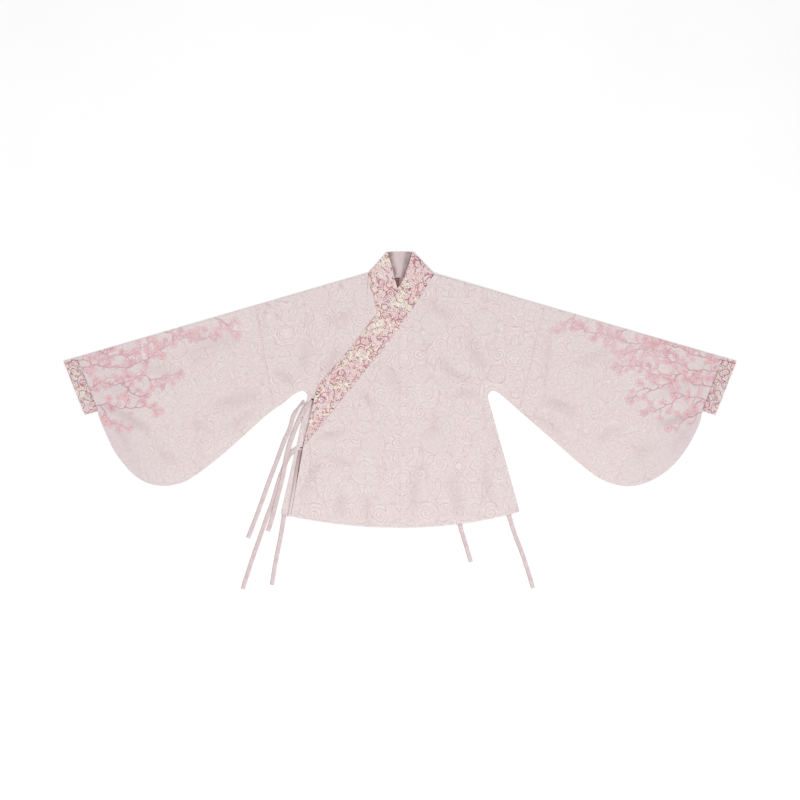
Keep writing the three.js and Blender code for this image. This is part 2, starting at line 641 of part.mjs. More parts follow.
// The back's neck edge lies below the stand of the collar, one point for each front column.
function backNeckEdge(frontPath, fold) {
  const centre = new THREE.Vector2(SEAM / 2, BACK_STAND[1].seam[1] - PANEL_GAP);
  const neck = new THREE.Vector2(Math.abs(fold.seam[0]), fold.seam[1] - BACK_NECK_DIP);
  return frontPath.slice(0, -1).map((spot) => centre.clone().lerp(neck, spot.x / neck.x));
}

addBodyHalf("body_left_half", HALVES.left, outerToNeck, backNeckEdge(outerToNeck, LEFT_NECK_FOLD));
addBodyHalf("body_right_half", HALVES.right, innerToNeck, backNeckEdge(innerToNeck, RIGHT_NECK_FOLD));
const outerFree = addOverlap("outer_overlap", HALVES.right, outerToTip, -OUTER_OVERLAP_FOOT, 0, OUTER_LEVEL);
addSideHem(outerFree);
addOverlap("inner_overlap", HALVES.left, innerToTip, INNER_OVERLAP_FOOT, INNER_HEM_RISE, INNER_LEVEL);
addSleeve("sleeve_left", HALVES.left);
addSleeve("sleeve_right", HALVES.right);
addCuff("cuff_left", HALVES.left);
addCuff("cuff_right", HALVES.right);
addCollar();
for (const [name, rows] of Object.entries(TIES)) addTie(name, rows);

export default jacket;
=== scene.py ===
# A cross-collar hanfu jacket with pipa sleeves, laid flat on its back. This script makes its cloth,
# prints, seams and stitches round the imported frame. Tables and lengths are in millimetres unless a
# comment says otherwise; meshes are in metres. +X is towards the wearer's left cuff, +Y the collar.
import math
import random
from functools import partialmethod

import bpy
import numpy as np
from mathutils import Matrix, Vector


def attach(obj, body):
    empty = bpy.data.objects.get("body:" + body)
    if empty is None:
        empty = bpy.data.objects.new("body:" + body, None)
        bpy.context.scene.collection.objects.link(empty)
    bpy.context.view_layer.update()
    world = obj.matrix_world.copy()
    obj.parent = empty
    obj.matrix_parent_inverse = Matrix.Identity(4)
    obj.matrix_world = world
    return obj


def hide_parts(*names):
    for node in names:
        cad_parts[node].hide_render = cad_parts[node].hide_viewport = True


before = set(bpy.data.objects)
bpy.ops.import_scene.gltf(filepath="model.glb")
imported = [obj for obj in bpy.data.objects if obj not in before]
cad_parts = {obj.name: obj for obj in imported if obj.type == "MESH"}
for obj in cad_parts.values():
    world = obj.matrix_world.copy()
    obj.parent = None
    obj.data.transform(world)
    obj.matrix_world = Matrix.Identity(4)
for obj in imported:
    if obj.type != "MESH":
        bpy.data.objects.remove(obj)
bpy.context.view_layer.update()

MM = 0.001

# ---- the jacket's own sizes, as in its frame ----
CLOTH = 1.2  # wall of the body, overlap and sleeve cloth
BAND = 1.6  # doubled cloth of the collar and cuffs
TIE = 1.0
TIE_WIDTH = 11
SEAM = 0.12  # gap between pieces that are sewn together
PANEL_GAP = 0.4  # gap between the collar and the panels
SHOULDER_PEAK = 408.7  # where the two shoulder lines would meet above the neck
SHOULDER_SLOPE = 0.2905  # fall of the shoulder line for each mm outwards
HEM_CENTRE = -277.5
ARM_TOP = 235  # distance from the centre where the shoulder passes over the underarm
SLEEVE_SEAM_TOP = 376
CUFF_SEAM_TOP = 839.5
CUFF_SEAM_FOOT = (785.5, 26)
CUFF_END_TOP = 874
CUFF_END_FOOT = (819, 15)

# heights above the ground of the undersides of the layers
INNER_LEVEL = 2.8
OUTER_LEVEL = 4.7
OUTER_BAND_LEVEL = 4.8
SIDE_HEM_LEVEL = 4.3
SLEEVE_LEVEL = 2.4
EDGE_LEVEL = 1.5
LEVEL_FALL = (215, 330)  # distances outwards between which a front sinks to the sleeve's level
LEVEL_FALL_HEIGHT = 60
EDGE_WIDTH = 30
SLEEVE_LOFT = 1.2

# Right and left are the wearer's; side is the sign of X. Points are distance outwards and height.
HALVES = {
    "right": {
        "side": -1,
        "level": INNER_LEVEL,
        "underarm": (240, 66),
        "hem_corner": (311, -241.5),
        "side_seam_width": 12,
        "sewn_from": 0.67,  # share of the side edge, from the hem up, where its seam starts
        "sleeve_foot": (326, 31),
        "armpit": [(249, 77), (259, 77), (281, 65), (302, 47)],
        "belly": [
            (364, 0), (426, -57), (489, -110), (551, -154), (590, -167), (624, -169), (660, -160),
            (692, -140), (720, -110), (744, -76), (764, -34), (779, 2),
        ],
    },
    "left": {
        "side": 1,
        "level": OUTER_LEVEL,
        "underarm": (227, 64),
        "hem_corner": (311, -236),
        "side_seam_width": EDGE_WIDTH,
        "sewn_from": 0.0,
        "sleeve_foot": (309, 27),
        "armpit": [(236, 77), (247, 77), (262, 68), (284, 49)],
        "belly": [
            (343, -3), (406, -58), (468, -112), (517, -149), (560, -166), (600, -170), (640, -161),
            (680, -140), (712, -113), (740, -79), (764, -38), (779, -4),
        ],
    },
}

# Collar sections: x and y on the seam edge, then x and y on the free rim.
INNER_BAND = [
    (222, -70, 195, 45), (175, -27, 183, 66), (120, 22, 153, 92), (60, 87, 104, 137),
    (0, 160, 48, 205), (-38, 226, 20, 258), (-59, 280, 3, 302), (-68, 322, -7, 346),
    (-77, 346, -14, 370), (-83, 367, -21, 400),
]
RIGHT_NECK_FOLD = (-82, 384.5, -33.8, 439.3)
BACK_STAND = [(-55, 380, -22, 439.3), (0, 373, 0, 439.3), (52, 377.9, 22, 439.3)]
LEFT_NECK_FOLD = (88, 383.1, 33.8, 439.3)
OUTER_BAND = [
    (77, 363.5, 20, 398), (58.5, 332.8, 5, 362), (33, 293.3, -17, 331), (0, 242, -48, 294),
    (-60, 168.2, -101, 224), (-109, 107.9, -135, 181), (-150, 57.5, -163, 150),
    (-188, 10.7, -194, 114), (-214, -21.3, -211, 90), (-236, -48.3, -220, 70),
    (-252, -68, -223, 54),
]
BACK_NECK_DIP = 2.6

OUTER_OVERLAP_FOOT = 283
SIDE_HEM_TOP = -76
SIDE_HEM_LENGTH = 170
INNER_OVERLAP_FOOT = 268
INNER_HEM_RISE = 6

# Ties: x, y, z of the middle and the angle in degrees by which the tie leans on its edge. Where it
# lies flat on the ground only x and y are given.
ON_GROUND = (TIE / 2, 0)
TIES = {
    "tie_side_upper": [
        (-248, 50, 2, 0), (-253, 46.5, 3.6, 30), (-259, 41, 5.4, 60), (-266, 32, 5.4, 62),
        (-273, 21, 3.4, 32), (-279, 7, 1.2, 6), (-286, -18), (-304, -60), (-321, -107),
        (-339, -154), (-356, -201), (-373, -248), (-395, -305),
    ],
    "tie_outer_upper": [
        (-230, 49, 4.8, 0), (-239, 39.5, 4.8, 0), (-248, 29, 4.3, 4), (-258, 12, 3.2, 8),
        (-268, -10, 1.8, 0), (-285, -55, 2.8, 0), (-292.5, -84, 3.4, 0), (-298, -108, 2.8, 0),
        (-307, -154, 1.8, 0), (-318, -196, 1.8, 0), (-326, -229, 1.8, 0), (-335, -262, 0.8, 0),
        (-343, -287),
    ],
    "tie_outer_lower": [
        (-262, -69, 2, 0), (-272, -75.5, 2, 0), (-281, -82, 2, 0), (-287, -89, 1.2, 0),
        (-295, -104), (-308, -136), (-319, -170), (-333, -216), (-347, -254), (-361, -294),
        (-383, -357), (-401, -412), (-409, -437.5),
    ],
    "tie_side_lower": [
        (-264, -86, 2, 0), (-272, -120, 2, 0), (-288, -185, 2, 0), (-301, -246, 2, 0),
        (-306, -276, 0.9, 0), (-312, -310), (-324, -370), (-333, -427),
    ],
    "tie_inner_upper": [
        (188, 36, 2, 0), (168, -20, 2, 0), (149, -90, 2, 0), (142, -160, 2, 0), (148, -228, 2, 0),
        (157, -276, 2, 0), (165, -303, 0.9, 0), (172, -326), (184.5, -367),
    ],
    "tie_inner_lower": [
        (221, -62, 2, 0), (246, -136, 2, 0), (270, -207, 2, 0), (284, -249, 2, 0),
        (292, -276, 0.9, 0), (301, -302), (316, -341), (332, -389), (346, -435),
    ],
}

# ---- soft creases ----
# x and y of both ends, height (a trough where negative), width, and bow: how far it bends sideways
BODY_CREASES = [
    (196, 92, 92, 168, 1.5, 15, 9),
    (214, 66, 128, 60, 1.1, 13, -7),
    (238, 118, 176, 236, 1.2, 19, 12),
    (60, 322, 152, 262, 0.9, 17, -6),
    (36, -262, 52, -96, 1.0, 17, 8),
    (148, -258, 128, -128, 1.3, 21, -10),
    (244, -232, 216, -88, 1.1, 16, 6),
    (96, 32, 62, -62, 0.8, 23, 12),
    (-40, 152, 22, 62, 0.8, 19, -9),
    (-226, -52, -128, -30, 1.2, 12, 5),
    (-206, -84, -104, -118, 0.9, 17, -8),
    (-252, -206, -196, -96, 1.2, 15, 7),
    (-168, -262, -148, -168, 1.1, 19, -6),
    (-76, -268, -84, -182, 0.9, 15, 5),
    (-118, 82, -52, 18, 1.0, 15, 6),
]
RIGHT_CREASES = [
    (-214, 112, -152, 214, 1.3, 15, -9),
    (-246, 104, -232, 212, 1.0, 19, 8),
    (-112, 286, -198, 256, 1.0, 17, 6),
    (-262, 84, -338, 132, 1.4, 13, -6),
    (-170, 152, -128, 196, 0.8, 12, 4),
]
SLEEVE_CREASES = {
    -1: [
        (-778, 40, -640, -40, 2.2, 12, 8),
        (-800, 104, -650, 66, 1.1, 18, -7),
        (-356, 74, -500, 40, 1.3, 20, 8),
        (-362, 30, -452, -34, 1.1, 14, -6),
        (-748, -6, -700, -96, 1.2, 13, 9),
        (-420, 214, -560, 150, 0.9, 23, -12),
        (-560, -118, -640, -60, 0.9, 21, 8),
        (-690, 150, -560, 92, 0.8, 26, 10),
        (-480, -44, -560, -4, 0.8, 17, -7),
    ],
    1: [
        (784, 34, 662, -16, 3.4, 11, 5),
        (772, 22, 690, -84, 1.2, 14, 9),
        (352, 58, 470, 6, 1.3, 18, 8),
        (390, 248, 372, 96, 1.0, 10, 4),
        (340, 18, 438, -60, 1.0, 13, 6),
        (798, 112, 668, 74, 1.1, 18, 7),
        (560, 176, 452, 132, 0.8, 24, -10),
        (600, -110, 676, -62, 0.9, 19, 8),
        (500, -64, 590, -18, 0.8, 17, 7),
    ],
}
BACK_CREASES = [
    (150, 250, 60, 60, 0.8, 20, 10),
    (-150, 250, -70, 40, 0.8, 18, -12),
    (40, -240, 70, -60, 0.7, 17, 6),
    (-200, -220, -150, -40, 0.8, 16, 8),
    (210, -210, 170, -30, 0.7, 18, -8),
    (-250, 90, -380, 150, 0.8, 17, 8),
    (250, 90, 380, 160, 0.8, 18, -6),
    (480, -60, 620, 20, 0.8, 19, 10),
    (-480, -70, -640, 10, 0.8, 22, -9),
    (700, -60, 640, 90, 0.7, 17, 6),
    (-720, -40, -650, 100, 0.7, 16, -7),
]

CREASE_WAVER = 2.2
CREASE_STEEPNESS = 1.7  # of a crease's one side against the other
# distances from an edge over which the creases in front die out towards it
CALM = {"seam": 18, "shoulder": 22, "belly": 16, "sleeve_top": 20, "collar": 14, "free_edge": 10}
BACK_CALM, SLEEVE_BACK_CALM = 0.06, 0.08  # the same on the underside, as a share of its size

SHARP_CLOTH, SHARP_THREAD = math.radians(48), math.radians(70)  # edges that aren't shaded smooth
TOP_ROW, FOOT_ROW = (slice(None), -1), (slice(None), 0)  # of a grid of points


# ---- small tools ----
def smooth(value):
    """A soft step from 0 at 0 to 1 at 1."""
    value = np.clip(value, 0, 1)
    return value * value * (3 - 2 * value)


def inward(place, reach, length=1):
    """1 inside a stretch of that length, falling softly to 0 over a reach at both its ends."""
    return smooth(np.minimum(place, length - place) / reach)


def along(path, shares):
    """Points at shares of a path's length."""
    path = np.asarray(path, float)
    reached = travelled(path)
    wanted = np.asarray(shares) * reached[-1]
    return np.column_stack([np.interp(wanted, reached, values) for values in path.T])


def travelled(path):
    """The way along a path at each of its points."""
    return np.concatenate([[0], np.cumsum(np.linalg.norm(np.diff(path, axis=0), axis=1))])


def length_of(path):
    """The whole length of a path."""
    return np.linalg.norm(np.diff(path, axis=0), axis=1).sum()


def spline(points, spacing=2.0):
    """A smooth curve through the points, with a point about every spacing."""
    points = np.asarray(points, float)
    guided = np.vstack([points[:1], points, points[-1:]])
    t = np.linspace(0, 1, 24, endpoint=False)[:, None]
    stretches = []
    for before, start, end, after in zip(guided, guided[1:], guided[2:], guided[3:]):
        leaving, arriving = (end - before) / 2, (after - start) / 2
        cubic = 2 * start - 2 * end + leaving + arriving
        square = -3 * start + 3 * end - 2 * leaving - arriving
        stretches.append(cubic * t**3 + square * t**2 + leaving * t + start)
    curve = np.vstack([*stretches, points[-1:]])
    return along(curve, np.linspace(0, 1, max(2, round(length_of(curve) / spacing)) + 1))


def left_of(path):
    """The direction square to a plan path, on its left, at each point."""
    tangent = np.gradient(path, axis=0)
    tangent /= np.linalg.norm(tangent, axis=1)[:, None]
    return np.column_stack([-tangent[:, 1], tangent[:, 0]])


def distance_to(path, spots):
    """From each plan spot to the nearest place on a path."""
    least = np.full(spots.shape[:-1], np.inf)
    for start, end in zip(path, path[1:]):
        step = end - start
        share = np.clip(((spots - start) @ step) / (step @ step), 0, 1)
        away = np.linalg.norm(spots - start - share[..., None] * step, axis=-1)
        least = np.minimum(least, away)
    return least


def graded(length, spacing, near_start=(), near_end=()):
    """Shares of a length: even steps, with closer ones at given distances from either end."""
    first = near_start[-1] if near_start else 0
    last = length - (near_end[-1] if near_end else 0)
    steps = max(1, round((last - first) / spacing))
    middle = np.linspace(first, last, steps + 1)
    ends = [length - reach for reach in reversed(near_end[:-1])]
    places = [0, *near_start[:-1], *middle, *ends, length]
    return np.unique(np.round(np.array(places) / length, 9))


def patch(bottom, top, left, right, across, up):
    """Plan points between four edges (a Coons patch): [column, row, xy]."""
    u, v = across[:, None, None], up[None, :, None]
    ruled = (1 - v) * bottom[:, None] + v * top[:, None] + (1 - u) * left[None] + u * right[None]
    corners = (1 - u) * ((1 - v) * bottom[0] + v * top[0]) + u * ((1 - v) * bottom[-1] + v * top[-1])
    return ruled - corners


def crease_rise(spots, rows):
    """Height of soft creases at plan spots; each is steeper on one side than on the other."""
    rise = np.zeros(spots.shape[:-1])
    for number, (x0, y0, x1, y1, height, width, bow) in enumerate(rows):
        start, step = np.array([x0, y0]), np.array([x1 - x0, y1 - y0])
        length = np.linalg.norm(step)
        share = ((spots - start) @ step) / length**2
        beside = (spots - start) @ (np.array([-step[1], step[0]]) / length)
        bend = bow * np.sin(math.pi * np.clip(share, 0, 1)) + CREASE_WAVER * np.sin(7 * share + number)
        away = (beside - bend) / width
        away = np.where(away > 0, away * CREASE_STEEPNESS, away)
        crest = np.clip(np.sin(math.pi * np.clip(share, 0, 1)), 0, 1) ** 0.8
        crest = crest * (0.8 + 0.25 * np.sin(9 * share + 2 * number))
        rise += height * crest * np.exp(-1.6 * away**2)
    return rise


class Cloth:
    """A sheet with an outer and an inner skin, put together from grids that share their edges."""

    def __init__(self):
        self.outer, self.inner, self.quads = [], [], []
        self.fields = {}
        self.count = 0

    def add(self, outer, inner, under=False, **fields):
        """Adds a grid of both skins, [column, row, xyz]; under: facing down; fields: a value a point."""
        columns, rows = outer.shape[:2]
        ids = np.arange(columns * rows).reshape(columns, rows) + self.count
        if under:
            ids = ids[:, ::-1]
        corners = [ids[:-1, :-1], ids[1:, :-1], ids[1:, 1:], ids[:-1, 1:]]
        quads = np.stack(corners, axis=-1).reshape(-1, 4)
        self.outer.append(outer.reshape(-1, 3))
        self.inner.append(inner.reshape(-1, 3))
        self.quads.append(quads)
        for name, values in fields.items():
            self.fields.setdefault(name, []).append(np.reshape(values, (columns * rows, -1)))
        self.count += columns * rows

    def piece(
        self, node, slot, held, rests_on, flat, area=None, look=None, inside="reverse", replaces=True
    ):
        name = node + "_cloth"
        outer, inner = np.vstack(self.outer), np.vstack(self.inner)
        keys = np.round(np.hstack([outer, inner]), 6)
        _, first, weld = np.unique(keys, axis=0, return_index=True, return_inverse=True)
        weld = weld.ravel()
        outer, inner = outer[first], inner[first]
        quads = weld[np.vstack(self.quads)]
        count = len(outer)
        starts, ends = quads.ravel(), np.roll(quads, -1, axis=1).ravel()
        open_edge = ~np.isin(starts * count + ends, ends * count + starts)
        starts, ends = starts[open_edge], ends[open_edge]
        rim = np.column_stack([ends, starts, starts + count, ends + count])
        faces = np.vstack([quads, quads[:, ::-1] + count, rim])
        points = np.vstack([outer, inner]) * MM
        if signed_volume(points, faces) < 0:
            faces = faces[:, ::-1]
        mesh = bpy.data.meshes.new(name)
        mesh.from_pydata(points.tolist(), [], faces.tolist())
        for key in (look or node, inside):
            mesh.materials.append(looks[key])
        slots = np.repeat([0, 1, 0], [len(quads), len(quads), len(rim)])
        mesh.polygons.foreach_set("material_index", slots.astype(np.int32))
        for field, parts in self.fields.items():
            values = np.vstack(parts)[first]
            values = np.vstack([values, values])
            kind = "FLOAT_VECTOR" if values.shape[1] == 3 else "FLOAT"
            layer = mesh.attributes.new(field, kind, "POINT")
            layer.data.foreach_set("vector" if kind == "FLOAT_VECTOR" else "value", values.ravel())
        mesh.shade_smooth()
        mesh.set_sharp_from_angle(angle=SHARP_CLOTH)
        mesh.validate()
        mesh.update()
        made = placed_piece(name, mesh)
        if replaces:
            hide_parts(node)


def signed_volume(points, faces):
    """Six times the volume that four-sided faces enclose, negative where they face inwards."""
    a, b, c, d = (points[faces[:, k]] for k in range(4))
    return np.einsum("ij,ij->", a, np.cross(b, c)) + np.einsum("ij,ij->", a, np.cross(c, d))


def placed_piece(name, mesh):
    """The mesh as an object of the scene that rides on the part's one body."""
    piece = bpy.data.objects.new(name, mesh)
    bpy.context.scene.collection.objects.link(piece)
    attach(piece, "root")
    return piece


def trim_piece(name, points, faces, look, sharp=None):
    """A trim from points in millimetres. sharp: the angle from which its edges aren't smooth."""
    mesh = bpy.data.meshes.new(name)
    mesh.from_pydata((np.reshape(points, (-1, 3)) * MM).tolist(), [], faces)
    mesh.materials.append(looks[look])
    mesh.shade_smooth()
    if sharp:
        mesh.set_sharp_from_angle(angle=sharp)
    placed_piece(name, mesh)


# ---- heights of the fronts ----
SHOULDER_OUT = np.array([SHOULDER_SLOPE, 1]) / math.hypot(SHOULDER_SLOPE, 1)
EDGE_RADIUS = (EDGE_LEVEL + CLOTH) / 2  # of the turned edge where a front is sewn to its back
TURN_STEPS = 8


def on_shoulder(reaches):
    """Plan points on the shoulder line, at distances outwards."""
    reaches = np.asarray(reaches, float)
    return np.column_stack([reaches, SHOULDER_PEAK - SHOULDER_SLOPE * reaches])


def below_shoulder(spots):
    """How far plan points lie below the shoulder line."""
    return SHOULDER_PEAK - SHOULDER_SLOPE * spots[..., 0] - spots[..., 1]


def hem_height(half, reach):
    """Height of the curved hem at a distance outwards."""
    corner = half["hem_corner"]
    return HEM_CENTRE + (corner[1] - HEM_CENTRE) * (reach / corner[0]) ** 2


for half in HALVES.values():
    for key in ("underarm", "hem_corner", "sleeve_foot"):
        half[key] = np.array(half[key], float)
    half["side_edge"] = np.array([half["hem_corner"], half["underarm"]])
    seam_start = along(half["side_edge"], [half["sewn_from"]])[0]
    half["side_seam"] = np.array([half["underarm"], seam_start])
    half["armpit_curve"] = spline([half["underarm"], *half["armpit"], half["sleeve_foot"]])
    half["belly_curve"] = spline([half["sleeve_foot"], *half["belly"], CUFF_SEAM_FOOT], 5)
    half["arm_seam"] = np.vstack([half["armpit_curve"][::4], half["belly_curve"]])


def front_underside(half, spots, on_sleeve=False):
    """Height of the underside of a front, at spots given in distance outwards and height."""
    fall = smooth((spots[..., 0] - LEVEL_FALL[0]) / (LEVEL_FALL[1] - LEVEL_FALL[0]))
    above_underarm = smooth(1 + (spots[..., 1] - half["underarm"][1]) / LEVEL_FALL_HEIGHT)
    sunk = 1 if on_sleeve else fall * above_underarm
    level = half["level"] + (SLEEVE_LEVEL - half["level"]) * sunk
    rise = np.minimum(
        smooth(distance_to(half["side_seam"], spots) / half["side_seam_width"]),
        smooth(distance_to(half["arm_seam"], spots) / EDGE_WIDTH),
    )
    return EDGE_LEVEL + (level - EDGE_LEVEL) * rise


def placed(half, spots):
    """A half's plan points or directions, from distance outwards and height to x and y."""
    return spots * np.array([half["side"], 1])


def skins(plan, bottom, thickness, face_down=False):
    """Outer and inner skin of a nearly level sheet over plan points."""
    low = np.concatenate([plan, np.broadcast_to(bottom, plan.shape[:-1])[..., None]], axis=-1)
    high = low + np.array([0, 0, thickness])
    return (low, high) if face_down else (high, low)


def turned(noses, outs, tops, thickness):
    """Cloth that goes over an edge: [nose, turn, xyz] of both skins, from the top to underneath."""
    angles = math.pi * (0.5 - np.linspace(0, 1, TURN_STEPS + 1))
    radius = np.broadcast_to(np.asarray(tops, float) / 2, (len(noses),))[:, None]

    def at(size):
        plan = noses[:, None] + outs[:, None] * (np.cos(angles) * size - radius)[..., None]
        height = radius + np.sin(angles) * size
        return np.concatenate([plan, height[..., None]], axis=-1)

    return at(radius), at(radius - thickness)


def join_over_edge(cloth, half, noses, outs, tops, thickness, front, back, at=..., **fields):
    """Adds the turned edge between a front and a back (pairs of skins), from one row of each."""
    outs = np.broadcast_to(outs, noses.shape)
    outer, inner = turned(placed(half, noses), placed(half, outs), tops, thickness)
    outer[:, 0], inner[:, 0] = (skin[at] for skin in front)
    outer[:, -1], inner[:, -1] = (skin[at] for skin in back)
    steps = outer.shape[1]
    spread = {name: np.repeat(values[at][:, None], steps, axis=1) for name, values in fields.items()}
    cloth.add(outer, inner, **spread)


HEM_WIDTH = 9
STITCH_LINE = 6.6  # distance from the hem's edge of its line of stitches


def seam_roll(distance, depth=0.45, width=1.5):
    """How far cloth rolls down beside a sewn edge, with the small ridge of the allowance behind."""
    return dent(distance, 0, depth, width) - dent(distance, 5.5, 0.22, 2.6)


def dent(distance, place, depth, width):
    """A soft furrow, in millimetres, at one distance from an edge."""
    return -depth * np.exp(-(((distance - place) / width) ** 2))


def hem_relief(distance):
    """The turned hem: a slightly higher strip with a pressed stitch line along its top."""
    strip = 0.3 * (1 - smooth((distance - HEM_WIDTH) / 1.6))
    return strip + dent(distance, STITCH_LINE, 0.28, 1.0) + dent(distance, 0, 0.35, 0.9)


stitch_lines = []  # rows of points on the cloth that a line of stitches follows


# ---- body halves ----
HEM_ROWS = (0.9, 2.2, 4.2, 5.6, STITCH_LINE, 7.6, HEM_WIDTH, 10.6, 13)
SEAM_ROWS = (0.8, 1.8, 3.4, 5.4, 7.6, 10)
NECK_ROWS = (0.8, 1.8, 3.4, 5.4, 7.6)
STITCH_ROW = HEM_ROWS.index(STITCH_LINE) + 1
FAR = 99.0  # a distance at which no seam is felt
CELL = 5.0
COLUMN_SPREAD = 0.55  # how far the columns follow the neck's length rather than its distance outwards


def body_half(node, half, neck_path, back_neck, creases, flat, area):
    """Front, back and upper arm in one closed cloth, folded at the shoulder and sewn at the side."""
    cloth = Cloth()
    neck_reach = neck_path[-1][0] + SHOULDER_OUT[0] * (half["level"] + CLOTH) / 2
    reaches = neck_reach + (ARM_TOP - neck_reach) * graded(ARM_TOP - neck_reach, CELL)
    noses = on_shoulder(reaches)
    tops = front_underside(half, noses) + CLOTH
    shoulder = noses - SHOULDER_OUT * tops[:, None] / 2
    neck_curve = spline([*neck_path[:-1], shoulder[0]])
    neck = along(neck_curve, graded(neck_reach, 4, NECK_ROWS))
    front_top = np.vstack([neck[:-1], shoulder])
    neck_end = len(neck) - 1
    back_spots = neck[:-1, 0] / abs(back_neck[1][0])
    back_edge = np.array(back_neck[0]) + np.outer(back_spots, np.subtract(back_neck[1], back_neck[0]))
    back_top = np.vstack([back_edge, shoulder])
    outwards = (np.maximum.accumulate(front_top[:, 0]) - SEAM / 2) / (front_top[-1, 0] - SEAM / 2)
    passed = travelled(front_top)
    across = (1 - COLUMN_SPREAD) * outwards + COLUMN_SPREAD * passed / passed[-1]

    side_length, arm_length = length_of(half["side_edge"]), length_of([half["underarm"], shoulder[-1]])
    side_shares = graded(side_length, CELL, HEM_ROWS)
    arm_shares = graded(arm_length, CELL, (1.2, 3, 6))
    root_length = SLEEVE_SEAM_TOP - ARM_TOP
    root_shares = graded(root_length, CELL, (), SEAM_ROWS)
    split = side_length / (side_length + arm_length)
    up = np.concatenate([side_shares * split, split + arm_shares[1:] * (1 - split)])
    underarm_row = len(side_shares) - 1

    # the sewn edge: up the side and round the armpit, its turned cloth one radius further out
    side_noses = along(half["side_edge"], side_shares)
    armpit_noses = along(half["armpit_curve"], root_shares)
    edge_noses = np.vstack([side_noses, armpit_noses[1:]])
    edge_outs = -left_of(edge_noses)
    inset = edge_noses - edge_outs * EDGE_RADIUS
    side_inset, armpit = inset[: underarm_row + 1], inset[underarm_row:]

    hem_reach = SEAM / 2 + (side_inset[0][0] - SEAM / 2) * across
    hem = np.column_stack([hem_reach, hem_height(half, hem_reach)])
    hem[-1] = side_inset[0]
    arm_side = along([armpit[0], shoulder[-1]], arm_shares)
    side = np.vstack([side_inset, arm_side[1:]])

    root_noses = on_shoulder(ARM_TOP + root_length * root_shares)
    root_tops = front_underside(half, root_noses) + CLOTH
    root_shoulder = root_noses - SHOULDER_OUT * root_tops[:, None] / 2
    sleeve_seam = along([armpit[-1], root_shoulder[-1]], arm_shares)
    root = patch(armpit, root_shoulder, arm_side, sleeve_seam, root_shares, arm_shares)

    def torso(top):
        centre = hem[0] + up[:, None] * (top[0] - hem[0])
        return patch(hem, top, centre, side, across, up)

    def relief(spots, from_hem, from_centre, from_sleeve):
        world = placed(half, spots)
        edges = smooth(distance_to(half["arm_seam"], spots) / CALM["seam"])
        edges = edges * smooth(below_shoulder(spots) / CALM["shoulder"])
        rise = crease_rise(world, creases) * edges
        rise += hem_relief(from_hem) + seam_roll(from_centre) + seam_roll(from_sleeve)
        return rise

    front_torso, back_torso = torso(front_top), torso(back_top)
    from_hem = front_torso[..., 1] - hem_height(half, front_torso[..., 0])
    from_centre = front_torso[..., 0] - SEAM / 2
    far = np.full(root.shape[:-1], FAR)
    root_from_sleeve = np.broadcast_to((root_length * (1 - root_shares))[:, None], root.shape[:-1])

    torso_rise = relief(front_torso, from_hem, from_centre, np.full(from_hem.shape, FAR))
    root_rise = relief(root, far, far, root_from_sleeve)
    torso_rise[-1, underarm_row:] = root_rise[0] = torso_rise[-1, underarm_row:]
    torso_bottom = front_underside(half, front_torso) + torso_rise
    root_bottom = front_underside(half, root) + root_rise
    torso_bottom[neck_end:, -1] = tops - CLOTH
    torso_bottom[-1, : underarm_row + 1] = EDGE_LEVEL
    root_bottom[:, -1] = root_tops - CLOTH
    root_bottom[:, 0] = EDGE_LEVEL
    root_bottom[0] = torso_bottom[-1, underarm_row:]
    root[0] = front_torso[-1, underarm_row:]

    front = skins(placed(half, front_torso), torso_bottom, CLOTH)
    front_root = skins(placed(half, root), root_bottom, CLOTH)
    cloth.add(*front)
    cloth.add(*front_root)

    def back_skins(spots, edge_rows):
        lift = crease_rise(placed(half, spots), BACK_CREASES) * edge_rows
        return skins(placed(half, spots), lift, CLOTH, face_down=True)

    inner_rows = inward(up, BACK_CALM)[None, :]
    inner_columns = smooth((1 - across) / BACK_CALM)[:, None]
    arm_rows = inner_rows[:, underarm_row:]
    back = back_skins(back_torso, inner_rows * np.where(up < split, inner_columns, 1.0))
    back_root = list(back_skins(root, arm_rows * smooth(np.minimum(arm_shares, 1) / 0.1)[None, :]))
    for skin, torso_skin in zip(back_root, back):
        skin[0] = torso_skin[-1, underarm_row:]
        skin[:, 0, 2] = torso_skin[-1, underarm_row, 2]
    cloth.add(*back, under=True)
    cloth.add(*back_root, under=True)

    def rim(pair, pair_root):
        return [np.vstack([skin[neck_end:, -1], more[1:, -1]]) for skin, more in zip(pair, pair_root)]

    join_over_edge(
        cloth, half, np.vstack([noses, root_noses[1:]]), SHOULDER_OUT,
        np.concatenate([tops, root_tops[1:]]), CLOTH, rim(front, front_root), rim(back, back_root),
    )
    sewn = int(np.searchsorted(side_shares, half["sewn_from"] - 1e-6))

    def foot(pair, pair_root):
        return [np.vstack([s[-1, sewn : underarm_row + 1], m[1:, 0]]) for s, m in zip(pair, pair_root)]

    join_over_edge(
        cloth, half, edge_noses[sewn:], edge_outs[sewn:], 2 * EDGE_RADIUS, CLOTH,
        foot(front, front_root), foot(back, back_root),
    )
    stitch_lines.append(front[0][:, STITCH_ROW])
    stitch_lines.append(front_root[0][-3, :])
    cloth.piece(node, "brocade", "folded", ["inner_overlap", "floor"], flat, area)


